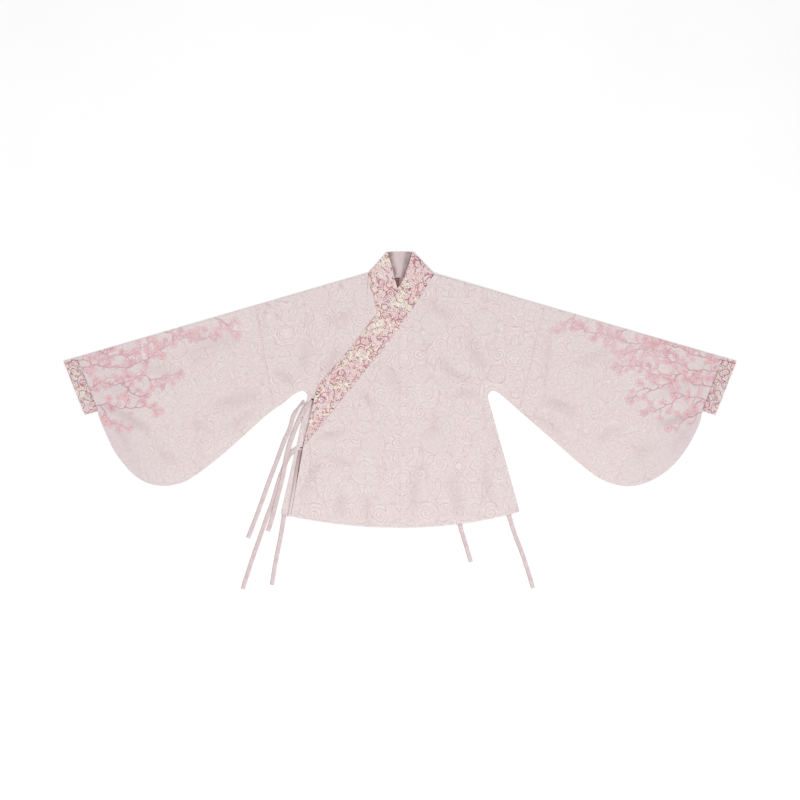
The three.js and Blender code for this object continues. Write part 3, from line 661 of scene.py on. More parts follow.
# ---- the sleeves' blossom print ----
# Each bough: how many side twigs grow from it, and its points on the sleeve, as distance from the
# cuff's seam along the top and depth below the top.
BOUGHS = {
    1: [
        (20, [(-4, 34), (58, 52), (120, 46), (190, 26), (262, 30), (330, 14)]),
        (16, [(-4, 78), (46, 88), (98, 74), (150, 92), (214, 86), (262, 104)]),
        (11, [(2, 128), (40, 118), (86, 138), (120, 176), (150, 188)]),
        (8, [(98, 74), (128, 118), (178, 140), (206, 172)]),
        (8, [(262, 2), (300, 24), (352, 34), (392, 22)]),
        (4, [(398, 0), (412, 22), (430, 48)]),
        (9, [(150, 0), (176, 20), (224, 46), (262, 70)]),
        (4, [(10, 150), (44, 176), (66, 214)]),
        (11, [(-2, 6), (52, 16), (108, 10), (172, 4)]),
    ],
    -1: [
        (19, [(-4, 26), (52, 38), (112, 60), (176, 54), (240, 34), (318, 28)]),
        (16, [(-4, 92), (42, 82), (92, 100), (140, 92), (188, 112), (248, 110)]),
        (9, [(0, 132), (48, 142), (84, 164), (128, 170), (160, 196)]),
        (5, [(92, 100), (118, 134), (142, 150)]),
        (9, [(236, 0), (276, 22), (330, 46), (366, 44)]),
        (5, [(372, 0), (396, 26), (418, 60)]),
        (9, [(60, 0), (90, 22), (152, 30), (206, 8)]),
        (5, [(24, 138), (40, 186), (78, 216)]),
        (6, [(-2, 8), (46, 14), (96, 6)]),
    ],
}
SPRAY_SEEDS = {1: 11, -1: 29}
BLOSSOM_RADII = (7.5, 12.5)
BOUGH_THICKNESS, TWIG_THICKNESS = (1.35, 0.85), (0.95, 0.7)  # halves of it, at the root and the tip
FAR_AWAY = 60.0  # where no blossom or twig is near


def grow_spray(side):
    """Twig segments (ends and half thickness) and blossoms (middle, radius, turn, squash, tone)."""
    draw = random.Random(SPRAY_SEEDS[side])
    segments, blossoms = [], []

    def add_path(points, thick, thin):
        path = spline(points, 5)
        steps = np.arange(len(path))
        sway = 2.6 * np.sin(steps * 0.55 + 9 * thick + len(segments)) + 1.5 * np.sin(steps * 1.25)
        path = path + left_of(path) * (sway * np.minimum(steps, 4) / 4)[:, None]
        widths = np.linspace(thick, thin, len(path))
        for number in range(len(path) - 1):
            segments.append((path[number], path[number + 1], widths[number]))
        return path

    def add_blossom(spot, radius):
        turn, squash = draw.uniform(0, math.tau), draw.uniform(0.62, 1.0)
        blossoms.append((np.array(spot), radius, turn, squash, draw.random()))

    for twigs, points in BOUGHS[side]:
        path = add_path(points, *BOUGH_THICKNESS)
        for number in range(twigs):
            share = (number + draw.uniform(0.2, 0.9)) / twigs
            root, ahead = along(path, [share, min(1, share + 0.03)])
            heading = math.atan2(*(ahead - root)[::-1]) + draw.choice((-1, 1)) * draw.uniform(0.5, 1.3)
            size = draw.uniform(12, 32) * (1.15 - 0.4 * share)
            bend = heading + draw.uniform(-0.7, 0.7)
            middle = root + 0.55 * size * np.array([math.cos(heading), math.sin(heading)])
            tip = middle + 0.5 * size * np.array([math.cos(bend), math.sin(bend)])
            add_path([root, middle, tip], *TWIG_THICKNESS)
            add_blossom(tip, draw.uniform(*BLOSSOM_RADII))
            for _ in range(draw.choice((0, 1, 1, 2))):
                nudge = np.array([draw.gauss(0, 9), draw.gauss(0, 9)])
                add_blossom(middle + nudge, draw.uniform(4.5, 8.5))
        add_blossom(path[-1], draw.uniform(9, 12))
        for _ in range(twigs // 3):
            spot = along(path, [draw.uniform(0.05, 1)])[0]
            add_blossom(spot + np.array([draw.gauss(0, 6), draw.gauss(0, 6)]), draw.uniform(7, 11))
    return segments, blossoms


def spray_fields(half, plan):
    """What the sleeve cloth's print needs at each plan point of a sleeve."""
    segments, blossoms = grow_spray(half["side"])
    slope = math.hypot(SHOULDER_SLOPE, 1)
    inwards, down = np.array([-1, SHOULDER_SLOPE]) / slope, -SHOULDER_OUT
    from_corner = plan - on_shoulder([CUFF_SEAM_TOP])[0]
    spots = np.stack([from_corner @ inwards, from_corner @ down], axis=-1)

    local = np.zeros((*spots.shape[:-1], 3))
    local[..., 2] = FAR_AWAY
    tone = np.zeros(spots.shape[:-1])
    for middle, radius, turn, squash, shade in blossoms:
        offset = (spots - middle) / radius
        x = offset @ np.array([math.cos(turn), math.sin(turn)])
        y = offset @ np.array([-math.sin(turn), math.cos(turn)]) / squash
        size = np.hypot(x, y)
        nearer = size < local[..., 2]
        local[nearer] = np.stack([x, y, size], axis=-1)[nearer]
        tone[nearer] = shade
    twig = np.zeros((*spots.shape[:-1], 3))
    twig[..., 1] = FAR_AWAY
    for start, end, width in segments:
        step = end - start
        share = np.clip(((spots - start) @ step) / (step @ step), 0, 1)
        away = spots - start - share[..., None] * step
        signed = (away @ np.array([-step[1], step[0]])) / np.linalg.norm(step)
        size = np.linalg.norm(away, axis=-1)
        signed = np.where(signed < 0, -size, size) / width
        nearer = size / width < twig[..., 1]
        twig[nearer] = np.stack([signed, size / width, np.zeros_like(size)], axis=-1)[nearer]
    twig[..., 2] = spots[..., 0]
    strength = np.clip(1.12 - spots[..., 0] / 1500 - np.clip(spots[..., 1] - 150, 0, 99) / 400, 0.4, 1)
    return {"spray": local, "spray_tone": tone, "twig": twig, "spray_strength": strength}


# ---- sleeves ----
BELLY_SHARE = 0.9  # share of the belly's length below the sleeve's columns; the rest faces the cuff
SLEEVE_CELL = 3.4
SLEEVE_ROW = 1.65
NOTCH_SHARE = 0.3  # share of the rows that lie beside that last stretch


def sleeve(node, half, flat, area):
    """A pipa sleeve: narrow at the arm and the wrist, with a round belly, closed but for both ends."""
    cloth = Cloth()
    start, end = SLEEVE_SEAM_TOP + SEAM, CUFF_SEAM_TOP
    top_length = length_of(on_shoulder([start, end]))
    across = graded(top_length, SLEEVE_CELL, SEAM_ROWS, SEAM_ROWS[:4])
    noses = on_shoulder(start + (end - start) * across)
    top = SLEEVE_LEVEL + CLOTH
    upper = noses - SHOULDER_OUT * top / 2

    shares = np.linspace(0, 1, 400)
    belly = along(half["belly_curve"], shares)
    belly_outs = -left_of(belly)
    belly[:, 0] += SEAM * (1 - shares)

    def on_belly(values, wanted):
        return np.column_stack([np.interp(wanted, shares, column) for column in values.T])

    side_length = length_of(belly) * (1 - BELLY_SHARE)
    cuff_length = length_of([CUFF_SEAM_FOOT, upper[-1]])
    low_rows = graded(side_length, SLEEVE_ROW, (1.0, 2.2))
    high_rows = graded(cuff_length, SLEEVE_ROW, (), (2.2, 1.0))
    up = np.concatenate([low_rows * NOTCH_SHARE, NOTCH_SHARE + high_rows[1:] * (1 - NOTCH_SHARE)])
    notch_row = len(low_rows) - 1

    bottom_noses, bottom_outs = (on_belly(v, across * BELLY_SHARE) for v in (belly, belly_outs))
    beside_cuff = BELLY_SHARE + (1 - BELLY_SHARE) * low_rows
    side_noses, side_outs = (on_belly(v, beside_cuff) for v in (belly, belly_outs))
    bottom = bottom_noses - bottom_outs * EDGE_RADIUS
    side = side_noses - side_outs * EDGE_RADIUS
    right = np.vstack([side, along([side[-1], upper[-1]], high_rows)[1:]])
    plan = patch(bottom, upper, along([bottom[0], upper[0]], up), right, across, up)
    world = placed(half, plan)

    u, v = across[:, None], up[None, :]
    inside = np.sin(math.pi * v) * smooth(u / 0.15) * smooth((1 - u) / 0.1)
    edges = smooth(distance_to(half["arm_seam"], plan) / CALM["belly"])
    edges = edges * smooth(below_shoulder(plan) / CALM["sleeve_top"])
    bottom_height = front_underside(half, plan, True) + inside * SLEEVE_LOFT
    bottom_height += crease_rise(world, SLEEVE_CREASES[half["side"]]) * edges
    bottom_height += seam_roll(top_length * u)
    bottom_height += seam_roll(top_length * (1 - u), 0.3) * (v > NOTCH_SHARE)
    bottom_height[:, -1] = SLEEVE_LEVEL
    bottom_height[:, 0] = EDGE_LEVEL
    bottom_height[-1, : notch_row + 1] = EDGE_LEVEL
    lift = crease_rise(world, BACK_CREASES) * inward(u, SLEEVE_BACK_CALM) * inward(v, SLEEVE_BACK_CALM)
    front = skins(world, bottom_height, CLOTH)
    back = skins(world, lift, CLOTH, face_down=True)
    fields = spray_fields(half, plan)
    cloth.add(*front, **fields)
    cloth.add(*back, under=True, **fields)
    for edge, outs, height, at in (
        (noses, SHOULDER_OUT, top, TOP_ROW),
        (bottom_noses, bottom_outs, 2 * EDGE_RADIUS, FOOT_ROW),
        (side_noses, side_outs, 2 * EDGE_RADIUS, (-1, slice(notch_row + 1))),
    ):
        join_over_edge(cloth, half, edge, outs, height, CLOTH, front, back, at, **fields)
    stitch_lines.append(front[0][3, 4:-4])
    cloth.piece(node, "sleeve_brocade", "folded", ["floor"], flat, area)


# ---- cuffs ----
CUFF_GAP = 1.4  # between the cuff's two layers
CUFF_LOW_GAP = 0.3  # the same at its foot
CUFF_CELL = 1.6
CUFF_LOFT = 0.7
CUFF_PUCKER = 0.22
CUFF_PRINT = 40.0  # third coordinate of the cuffs' print, with the half's sign; the collar's is 0


def cuff(node, half, flat, area):
    """The printed band at a wrist, folded along the top and at the foot."""
    cloth = Cloth()
    start, end = CUFF_SEAM_TOP + SEAM, CUFF_END_TOP
    top = 2 * BAND + CUFF_GAP
    across = graded(end - start, CUFF_CELL, (0.6, 1.6), (1.6, 0.6))
    noses = on_shoulder(start + (end - start) * across)
    upper = noses - SHOULDER_OUT * top / 2
    low_radius = (2 * BAND + CUFF_LOW_GAP) / 2
    foot_noses = along([np.add(CUFF_SEAM_FOOT, (SEAM, 0)), CUFF_END_FOOT], across)
    foot_outs = -left_of(foot_noses)
    lower = foot_noses - foot_outs * low_radius
    depth = length_of([lower[0], upper[0]])
    up = graded(depth, CUFF_CELL, (0.8, 1.8))
    seam_side, end_side = (along([lower[k], upper[k]], up) for k in (0, -1))
    plan = patch(lower, upper, seam_side, end_side, across, up)
    world = placed(half, plan)
    u, v = across[:, None], up[None, :]
    width = (end - start) * math.hypot(SHOULDER_SLOPE, 1)
    waves = np.sin(v * depth / 5.1 + 1.3 * np.sin(v * depth / 17))
    puckers = CUFF_PUCKER * waves * np.exp(-4 * u)
    bulge = CUFF_LOFT * inward(u, 0.3) * smooth(v / 0.15) + puckers
    gap = CUFF_LOW_GAP + (CUFF_GAP - CUFF_LOW_GAP) * smooth(v / 0.16)
    rise = bulge * smooth((1 - v) / 0.15) * smooth(v / 0.08)
    rise += seam_roll(width * u, 0.5) * smooth(v / 0.05) + seam_roll(width * (1 - u), 0.35, 1.1)
    bottom_height = BAND + gap + rise
    bottom_height[:, 0] = BAND + CUFF_LOW_GAP
    bottom_height[:, -1] = BAND + CUFF_GAP
    front = skins(world, bottom_height, BAND)
    back = skins(world, 0, BAND, face_down=True)

    def band(sign):
        reach = np.broadcast_to(sign * depth * (1 - v), bottom_height.shape)
        side = np.broadcast_to(width * u, bottom_height.shape)
        return np.stack([reach, side, np.full(side.shape, CUFF_PRINT * half["side"])], axis=-1)

    cloth.add(*front, band=band(-1))
    cloth.add(*back, under=True, band=band(1))
    for edge, outs, height, at in (
        (noses, SHOULDER_OUT, top, TOP_ROW), (foot_noses, foot_outs, 2 * low_radius, FOOT_ROW),
    ):
        join_over_edge(cloth, half, edge, outs, height, BAND, front, back, at, band=band(1))
    stitch_lines.append(front[0][4, 3:-3])
    cloth.piece(node, "printed_band", "folded", ["floor"], flat, area, look="band_cloth")


# ---- collar ----
COLLAR_CELL = 2.0
COLLAR_STEP = 2.8  # between its rows
COLLAR_WIDTH = 66
COLLAR_LOFT = 0.75
STAND_HOLLOW = 0.7
SEAM_PUCKER, RIM_PUCKER = 0.2, 0.16
ROW_STRETCH = 1.414  # a row holds two points, so a step from row to row comes out this much too long
COLLAR_TURN_UP = 5  # distance from the rim of the line at which the band is pressed


def collar(node, flat, area):
    """The whole band as one grid: [row along the band, column from the seam to the rim]."""
    cloth = Cloth()
    shares = graded(COLLAR_WIDTH, COLLAR_CELL, (0.7, 1.6, 2.8, 4), (4, 2.6, 1.4, 0.6))

    def across(rows):
        rows = np.asarray(rows, float)
        return rows[:, None, :2] + (rows[:, None, 2:] - rows[:, None, :2]) * shares[None, :, None]

    def fold(row, level, side):
        """The band turned down behind the neck, from the front's level to the ground."""
        row = np.array(row)
        step = row[2:] - row[:2]
        out = side * np.array([step[1], -step[0]]) / np.linalg.norm(step)
        noses = across([row])[0]
        outer, inner = turned(noses, np.broadcast_to(out, noses.shape), level + BAND, BAND)
        beside = row - np.tile(out, 2) * (level + BAND) / 2
        return outer.swapaxes(0, 1), inner.swapaxes(0, 1), beside

    right_outer, right_inner, right_end = fold(RIGHT_NECK_FOLD, INNER_LEVEL, -1)
    left_outer, left_inner, left_end = fold(LEFT_NECK_FOLD, OUTER_BAND_LEVEL, 1)
    inner_rows = spline([*INNER_BAND, right_end], COLLAR_STEP)
    stand_rows = spline([right_end, *BACK_STAND, left_end], COLLAR_STEP)
    outer_rows = spline([left_end, *OUTER_BAND], COLLAR_STEP)

    def front_skins(rows, level, phase):
        plan = across(rows)
        reach = travelled(rows) / ROW_STRETCH
        size = np.linalg.norm(rows[:, 2:] - rows[:, :2], axis=1)[:, None]
        from_seam, from_rim = size * shares, size * (1 - shares)
        ends = inward(reach, 30, reach[-1])[:, None]
        swell = (1 + 0.35 * np.sin(reach / 31 + phase))[:, None]
        crown = COLLAR_LOFT * np.sin(math.pi * shares)[None] * swell
        tug = np.sin(reach / 7.3 + 1.7 * np.sin(reach / 23 + phase))[:, None]
        puckers = SEAM_PUCKER * tug * np.exp(-from_seam / 9) + RIM_PUCKER * tug * np.exp(-from_rim / 7)
        rolls = dent(from_seam, 0, 0.5, 1.2) + dent(from_rim, 0, 0.35, 1.0)
        press = dent(from_rim, COLLAR_TURN_UP, 0.22, 1.1)
        return skins(plan, level + (crown + puckers + press) * ends + rolls * 0.6, BAND)

    inner_front = front_skins(inner_rows, INNER_LEVEL, 0.4)
    outer_front = front_skins(outer_rows, OUTER_BAND_LEVEL, 1.9)
    stand_plan = across(stand_rows)
    wave = inward(np.linspace(0, 1, len(stand_rows)), 0.3)
    hollow = STAND_HOLLOW * wave[:, None] * (np.sin(math.pi * shares) ** 2)[None]
    stand = skins(stand_plan, hollow, BAND, face_down=True)
    inner_front[0][-1], inner_front[1][-1] = right_outer[0], right_inner[0]
    outer_front[0][0], outer_front[1][0] = left_outer[0], left_inner[0]
    grids = [
        np.concatenate([front, right[1:-1], back, left[::-1][1:-1], outer])
        for front, right, back, left, outer in (
            (inner_front[0], right_outer, stand[0], left_outer, outer_front[0]),
            (inner_front[1], right_inner, stand[1], left_inner, outer_front[1]),
        )
    ]
    middle = grids[0][:, len(shares) // 2]
    reach = travelled(middle)
    heading = np.gradient(middle, axis=0)
    heading /= np.linalg.norm(heading, axis=1)[:, None]
    offset = grids[0] - middle[:, None]
    ahead = np.einsum("rck,rk->rc", offset, heading)
    aside = np.sqrt(np.maximum((offset**2).sum(axis=-1) - ahead**2, 0)) * np.sign(shares - 0.5)
    band = np.stack([reach[:, None] + ahead, aside, np.zeros(aside.shape)], axis=-1)
    cloth.add(*grids, band=band)
    stitch_lines.append(outer_front[0][:, 4])
    stitch_lines.append(outer_front[0][:, -5])
    rests = ["body_left_half_cloth", "body_right_half_cloth", "inner_overlap_cloth", "floor"]
    cloth.piece(node, "printed_band", "folded", rests, flat, area, look="band_cloth", inside="lining")


# ---- overlaps ----
def overlap(node, half, seam_edge, foot_reach, hem_rise, level, creases, flat, area, rests_on):
    """The panel beyond the centre line of a front, up to its free edge, which is returned too."""
    cloth = Cloth()
    seam_curve = spline(seam_edge)
    across = graded(foot_reach, CELL, NECK_ROWS, (3, 1.2))
    top = along(seam_curve, across)
    hem_reach = SEAM / 2 + (foot_reach - SEAM / 2) * across
    hem = np.column_stack([hem_reach, hem_height(half, hem_reach) + hem_rise])
    up = graded(length_of([hem[0], top[0]]), CELL, HEM_ROWS, (3, 1.2))
    free = along([hem[-1], top[-1]], up)
    plan = patch(hem, top, along([hem[0], top[0]], up), free, across, up)
    world = placed(half, plan)
    from_hem = plan[..., 1] - hem_height(half, plan[..., 0]) - hem_rise
    edges = smooth(distance_to(seam_curve[::4], plan) / CALM["collar"])
    edges = edges * smooth(distance_to(free[::4], plan) / CALM["free_edge"])
    rise = crease_rise(world, creases) * edges + hem_relief(from_hem)
    rise += seam_roll(plan[..., 0] - SEAM / 2)
    skin_pair = skins(world, level + rise, CLOTH)
    cloth.add(*skin_pair)
    stitch_lines.append(skin_pair[0][:, STITCH_ROW])
    cloth.piece(node, "brocade", "laid", rests_on, flat, area)
    return free


def side_hem(node, free_edge, flat, area):
    """The narrow turned band down the free edge, from the collar's tip to the hem."""
    cloth = Cloth()
    foot, head = free_edge[0], free_edge[-1]
    top = foot + (head - foot) * (SIDE_HEM_TOP - foot[1]) / (head[1] - foot[1])
    rows = along([foot, top], graded(SIDE_HEM_LENGTH, 2.0))
    reaches = np.array([0, 0.4, 1.2, 2.6, 4.4, 6.2, 8, 9.4, 10.3, 10.7])
    plan = rows[None] + np.stack([SEAM + reaches, 0 * reaches], axis=-1)[:, None]
    share = np.linspace(0, 1, len(rows))[None]
    across = (reaches / reaches[-1])[:, None]
    wave = 0.4 * np.sin(share * 19 + 3 * across) * smooth(across / 0.4)
    rise = 0.55 * np.sin(math.pi * across) + 0.5 * wave - 0.5 * across**2
    pair = skins(placed(HALVES["right"], plan), SIDE_HEM_LEVEL + rise, TIE)
    strip = np.stack(np.broadcast_arrays(1 - share, across, 0.0), axis=-1)
    cloth.add(*pair, strip=strip)
    rests = ["outer_overlap_cloth"]
    cloth.piece(node, "brocade", "laid", rests, flat, area, look="side_hem", inside="side_hem")


# ---- ties ----
def tie(node, rows):
    """A flat cloth tie with turned edges, along its row of points."""
    cloth = Cloth()
    centre = spline([(*row, *ON_GROUND)[:4] for row in rows], 2.6)
    centre[:, 2] = np.maximum(centre[:, 2], TIE / 2)
    heading = np.gradient(centre[:, :2], axis=0)
    heading /= np.linalg.norm(heading, axis=1)[:, None]
    lean = np.radians(centre[:, 3])[:, None]
    level = np.column_stack([-heading[:, 1], heading[:, 0], np.zeros(len(centre))])
    upright = np.array([[0, 0, 1.0]])
    across = level * np.cos(lean) + upright * np.sin(lean)
    normal = upright * np.cos(lean) - level * np.sin(lean)
    reaches = np.array([-1, -0.93, -0.78, -0.62, -0.3, 0, 0.3, 0.62, 0.78, 0.93, 1])
    thick = np.array([0.55, 0.85, 1.0, 0.9, 1.0, 1.0, 1.0, 0.9, 1.0, 0.85, 0.55])
    reach = travelled(centre[:, :3])
    ends = inward(reach, 12, reach[-1])[:, None]
    ripple = 0.3 * np.sin(reach / 13 + len(node))[:, None] * reaches[None] * ends
    ripple = np.maximum(ripple + 0.12 * ends, 0)
    middle = centre[:, None, :3] + across[:, None] * (reaches * TIE_WIDTH / 2)[None, :, None]
    lift = normal[:, None] * ripple[..., None]
    half_thick = normal[:, None] * (thick * TIE / 2)[None, :, None]
    lowered = normal[:, None] * ((1 - thick) * TIE / 2 * 0.6)[None, :, None]
    outer, inner = middle + half_thick + lift - lowered, middle - half_thick + lift * 0.9
    inner[..., 2] = np.maximum(inner[..., 2], 0)
    strip = np.stack(np.broadcast_arrays(reach[:, None], reaches[None], float(len(node))), axis=-1)
    cloth.add(outer, inner, strip=strip)
    flat = (TIE_WIDTH * MM, round(reach[-1] * MM, 3))
    area = flat[0] * flat[1]
    cloth.piece(node, "tie_cloth", "laid", ["floor"], flat, area, look="tie_cloth", inside="tie_cloth")


# ---- arithmetic on shader values ----
class Value:
    """A number in a material that varies over the surface; arithmetic on it makes Math nodes."""

    def __init__(self, tree, socket):
        self.tree, self.socket = tree, socket

    def math(self, operation, *others):
        node = self.tree.nodes.new("ShaderNodeMath")
        node.operation = operation
        for number, value in enumerate((self, *others)):
            if isinstance(value, Value):
                self.tree.links.new(value.socket, node.inputs[number])
            else:
                node.inputs[number].default_value = value
        return Value(self.tree, node.outputs[0])

    def __rsub__(self, other):
        return (self * -1) + other

    def fade(self, start, end, low=0.0, high=1.0):
        """low at start and high at end, with a smooth step between."""
        node = self.tree.nodes.new("ShaderNodeMapRange")
        node.interpolation_type = "SMOOTHSTEP"
        self.tree.links.new(self.socket, node.inputs["Value"])
        names = ("From Min", "From Max", "To Min", "To Max")
        for name, value in zip(names, (start, end, low, high)):
            node.inputs[name].default_value = value
        return Value(self.tree, node.outputs["Result"])

    def stroke(self, width, soft=0.35):
        """1 on a line where this distance is nought, of that half width."""
        return abs(self).fade(width + soft, max(width - soft, 0.0))

    def area(self, soft=0.4):
        """1 where this distance is negative."""
        return self.fade(soft, -soft)


for method, operation in (  # of Value, and the Math node that it makes
    ("__add__", "ADD"), ("__radd__", "ADD"), ("__sub__", "SUBTRACT"), ("__mul__", "MULTIPLY"),
    ("__rmul__", "MULTIPLY"), ("__truediv__", "DIVIDE"), ("__abs__", "ABSOLUTE"), ("sin", "SINE"),
    ("cos", "COSINE"), ("least", "MINIMUM"), ("most", "MAXIMUM"), ("repeat", "FLOORED_MODULO"),
    ("mirror", "PINGPONG"), ("power", "POWER"),
):
    setattr(Value, method, partialmethod(Value.math, operation))


def radius(x, y):
    return (x * x + y * y).math("SQRT")


def angle(x, y):
    return y.math("ARCTAN2", x)


def turned_by(x, y, degrees):
    """The same place in axes turned by an angle."""
    c, s = math.cos(math.radians(degrees)), math.sin(math.radians(degrees))
    return x * c + y * s, y * c - x * s


class Material:
    """A node material with helpers for coordinates, textures and colour mixes."""

    def __init__(self, name, roughness=0.7, sheen=0.25, specular=0.3):
        self.data = bpy.data.materials.new(name)
        self.data.use_nodes = True
        self.tree = self.data.node_tree
        self.shader = self.tree.nodes["Principled BSDF"]
        self.shader.inputs["Roughness"].default_value = roughness
        self.shader.inputs["Sheen Weight"].default_value = sheen
        self.shader.inputs["Sheen Roughness"].default_value = 0.4
        self.shader.inputs["Specular IOR Level"].default_value = specular

    def node(self, kind, **settings):
        made = self.tree.nodes.new(kind)
        for name, value in settings.items():
            setattr(made, name, value)
        return made

    def split(self, vector):
        node = self.node("ShaderNodeSeparateXYZ")
        self.tree.links.new(vector, node.inputs[0])
        return [Value(self.tree, socket) for socket in node.outputs]

    def join(self, *values):
        node = self.node("ShaderNodeCombineXYZ")
        for number, value in enumerate(values):
            if isinstance(value, Value):
                self.tree.links.new(value.socket, node.inputs[number])
            else:
                node.inputs[number].default_value = value
        return node.outputs[0]

    def place(self):
        """x, y and z on the object, in millimetres."""
        coordinates = self.node("ShaderNodeTexCoord")
        return [value * (1 / MM) for value in self.split(coordinates.outputs["Object"])]

    def attribute(self, name, output="Vector"):
        node = self.node("ShaderNodeAttribute", attribute_name=name)
        return node.outputs[output]

    def noise(self, vector, scale, detail=2.0, roughness=0.5):
        """Soft noise at a place, which is a socket or its three values."""
        if isinstance(vector, tuple):
            vector = self.join(*vector)
        node = self.node("ShaderNodeTexNoise")
        self.tree.links.new(vector, node.inputs["Vector"])
        for name, value in (("Scale", scale), ("Detail", detail), ("Roughness", roughness)):
            node.inputs[name].default_value = value
        return Value(self.tree, node.outputs["Fac"])

    def cells(self, vector, scale, randomness=1.0):
        """A node of random cells, which gives a cell's middle, random colour and distance."""
        node = self.node("ShaderNodeTexVoronoi", voronoi_dimensions="2D")
        self.tree.links.new(vector, node.inputs["Vector"])
        node.inputs["Scale"].default_value = scale
        node.inputs["Randomness"].default_value = randomness
        return node

    def mix(self, factor, first, second):
        """first where factor is 0 and second where it is 1; either is a colour or a socket."""
        node = self.node("ShaderNodeMix", data_type="RGBA")
        sockets = [s for s in node.inputs if s.type == "RGBA"]
        for socket, value in zip(sockets, (first, second)):
            if isinstance(value, tuple):
                socket.default_value = (*value, 1)
            else:
                self.tree.links.new(value, socket)
        self.tree.links.new(factor.socket, node.inputs[0])
        return next(s for s in node.outputs if s.type == "RGBA")

    def over(self, colour, *layers):
        """The colour with layers on it. layers: how much of each there is, and its own colour."""
        for amount, paint in layers:
            colour = self.mix(amount, colour, paint)
        return colour

    def finish(self, colour, height=None, distance=0.8, roughness=None):
        """The material with that colour and a bump of that height, in units of distance (mm)."""
        self.tree.links.new(colour, self.shader.inputs["Base Color"])
        if roughness is not None:
            self.tree.links.new(roughness.socket, self.shader.inputs["Roughness"])
        if height is not None:
            node = self.node("ShaderNodeBump")
            node.inputs["Strength"].default_value = 1.0
            node.inputs["Distance"].default_value = distance * MM
            self.tree.links.new(height.socket, node.inputs["Height"])
            self.tree.links.new(node.outputs[0], self.shader.inputs["Normal"])
        return self.data


# ---- the woven figure ----
SHADE_WIDTH = 1.5  # of a crease's own width
SHADE_DEPTH = 0.2  # for each mm of its height
BROCADE_SHADE = (0.46, 0.355, 0.355)
BROCADE = (0.70, 0.604, 0.599)
BROCADE_LINE = (0.575, 0.462, 0.461)
BROCADE_LIGHT = (0.78, 0.695, 0.688)
BROCADE_PINK = (0.70, 0.568, 0.568)
MIRROR_LINE = (153, 132)  # X and Y of a medallion on the fronts
REPEAT_HALF = 144.5  # the figure is mirrored at these steps across the cloth
REPEAT_LENGTH = 310.0
LINE = 1.0  # half width of a woven line
LATTICE = 6.2  # between the lines in a roundel
# places in the repeat: distance from the mirror line and height, then sizes, all in mm
LEAVES = [  # tilt in degrees, half length, half width
    (54, 2, 8, 28, 9), (44, -54, -36, 23, 7.5), (20, -104, 14, 19, 6), (126, 88, 22, 22, 7.5),
    (24, 102, -24, 20, 6.5), (128, -66, -28, 21, 7), (86, 58, 58, 17, 5.5), (66, -128, 70, 15, 5),
]
SCROLLS = [  # size, pitch, turn
    (46, 66, 17, 8, 1), (104, 40, 18, 8, -1), (84, -62, 19, 8.5, -1), (100, -108, 16, 7.5, 1),
    (22, 138, 14, 7, -1), (130, 128, 15, 7, 1),
]
DROPS = [(60, 15), (-58, 13)]  # on the mirror line: height and size
ROUNDELS = [(66, 125, 34), (100, -10, 25)]
MEDALLION_RINGS = [(8, 21, 0.24), (16, 33, 0.1)]  # petals, size and how deeply they are cut
MEDALLION_FILL = (8, 18, 0.24)
MEDALLION_HEART, MEDALLION_SIZE = 8, 34
STEM_PLACE, STEM_SWAY, STEM_RIPPLE = 72, 20, 6
FLOWERS = [(30, 16), (-108, 14)]  # on the other mirror line
SCROLL_CELL = 64.0  # of the scrolls between the motifs
SCROLL_PITCH = 15.0
SCROLL_WAVE = 18  # how far the scrolls are bent
WARP, CURL = (17, -13), (9, 10)  # how far broad and narrow waves bend the figure, in X and in Y
LINE_FEATHER = 1.5
LATTICE_FAINT = 0.9  # how much fainter the lattice is, as a distance from its lines


def leaf(x, y, length, width):
    """Signed distance to a pointed leaf along y, and the distance to its midrib."""
    edge = abs(x) - (1 - (y / length) * (y / length)) * width
    return edge.most(abs(y) - length), abs(x) + (abs(y) - length * 0.7).most(0)


def spiral(x, y, pitch, turn):
    """Distance to the line of a scroll."""
    coil = (radius(x, y) / pitch - angle(x, y) * (turn / math.tau)).repeat(1.0)
    return abs(coil - 0.5) * pitch


def rosette(x, y, petals, size, depth):
    """Signed distance to a flower whose petals are rounded bumps round a ring."""
    bumps = abs((angle(x, y) * (petals / 2)).cos())
    return radius(x, y) - (bumps * depth + (1 - depth)) * size


def wrapped(y, height):
    """Distance from that height of the repeat, the nearer way round."""
    return (y + (REPEAT_LENGTH / 2 - height)).repeat(REPEAT_LENGTH) - REPEAT_LENGTH / 2


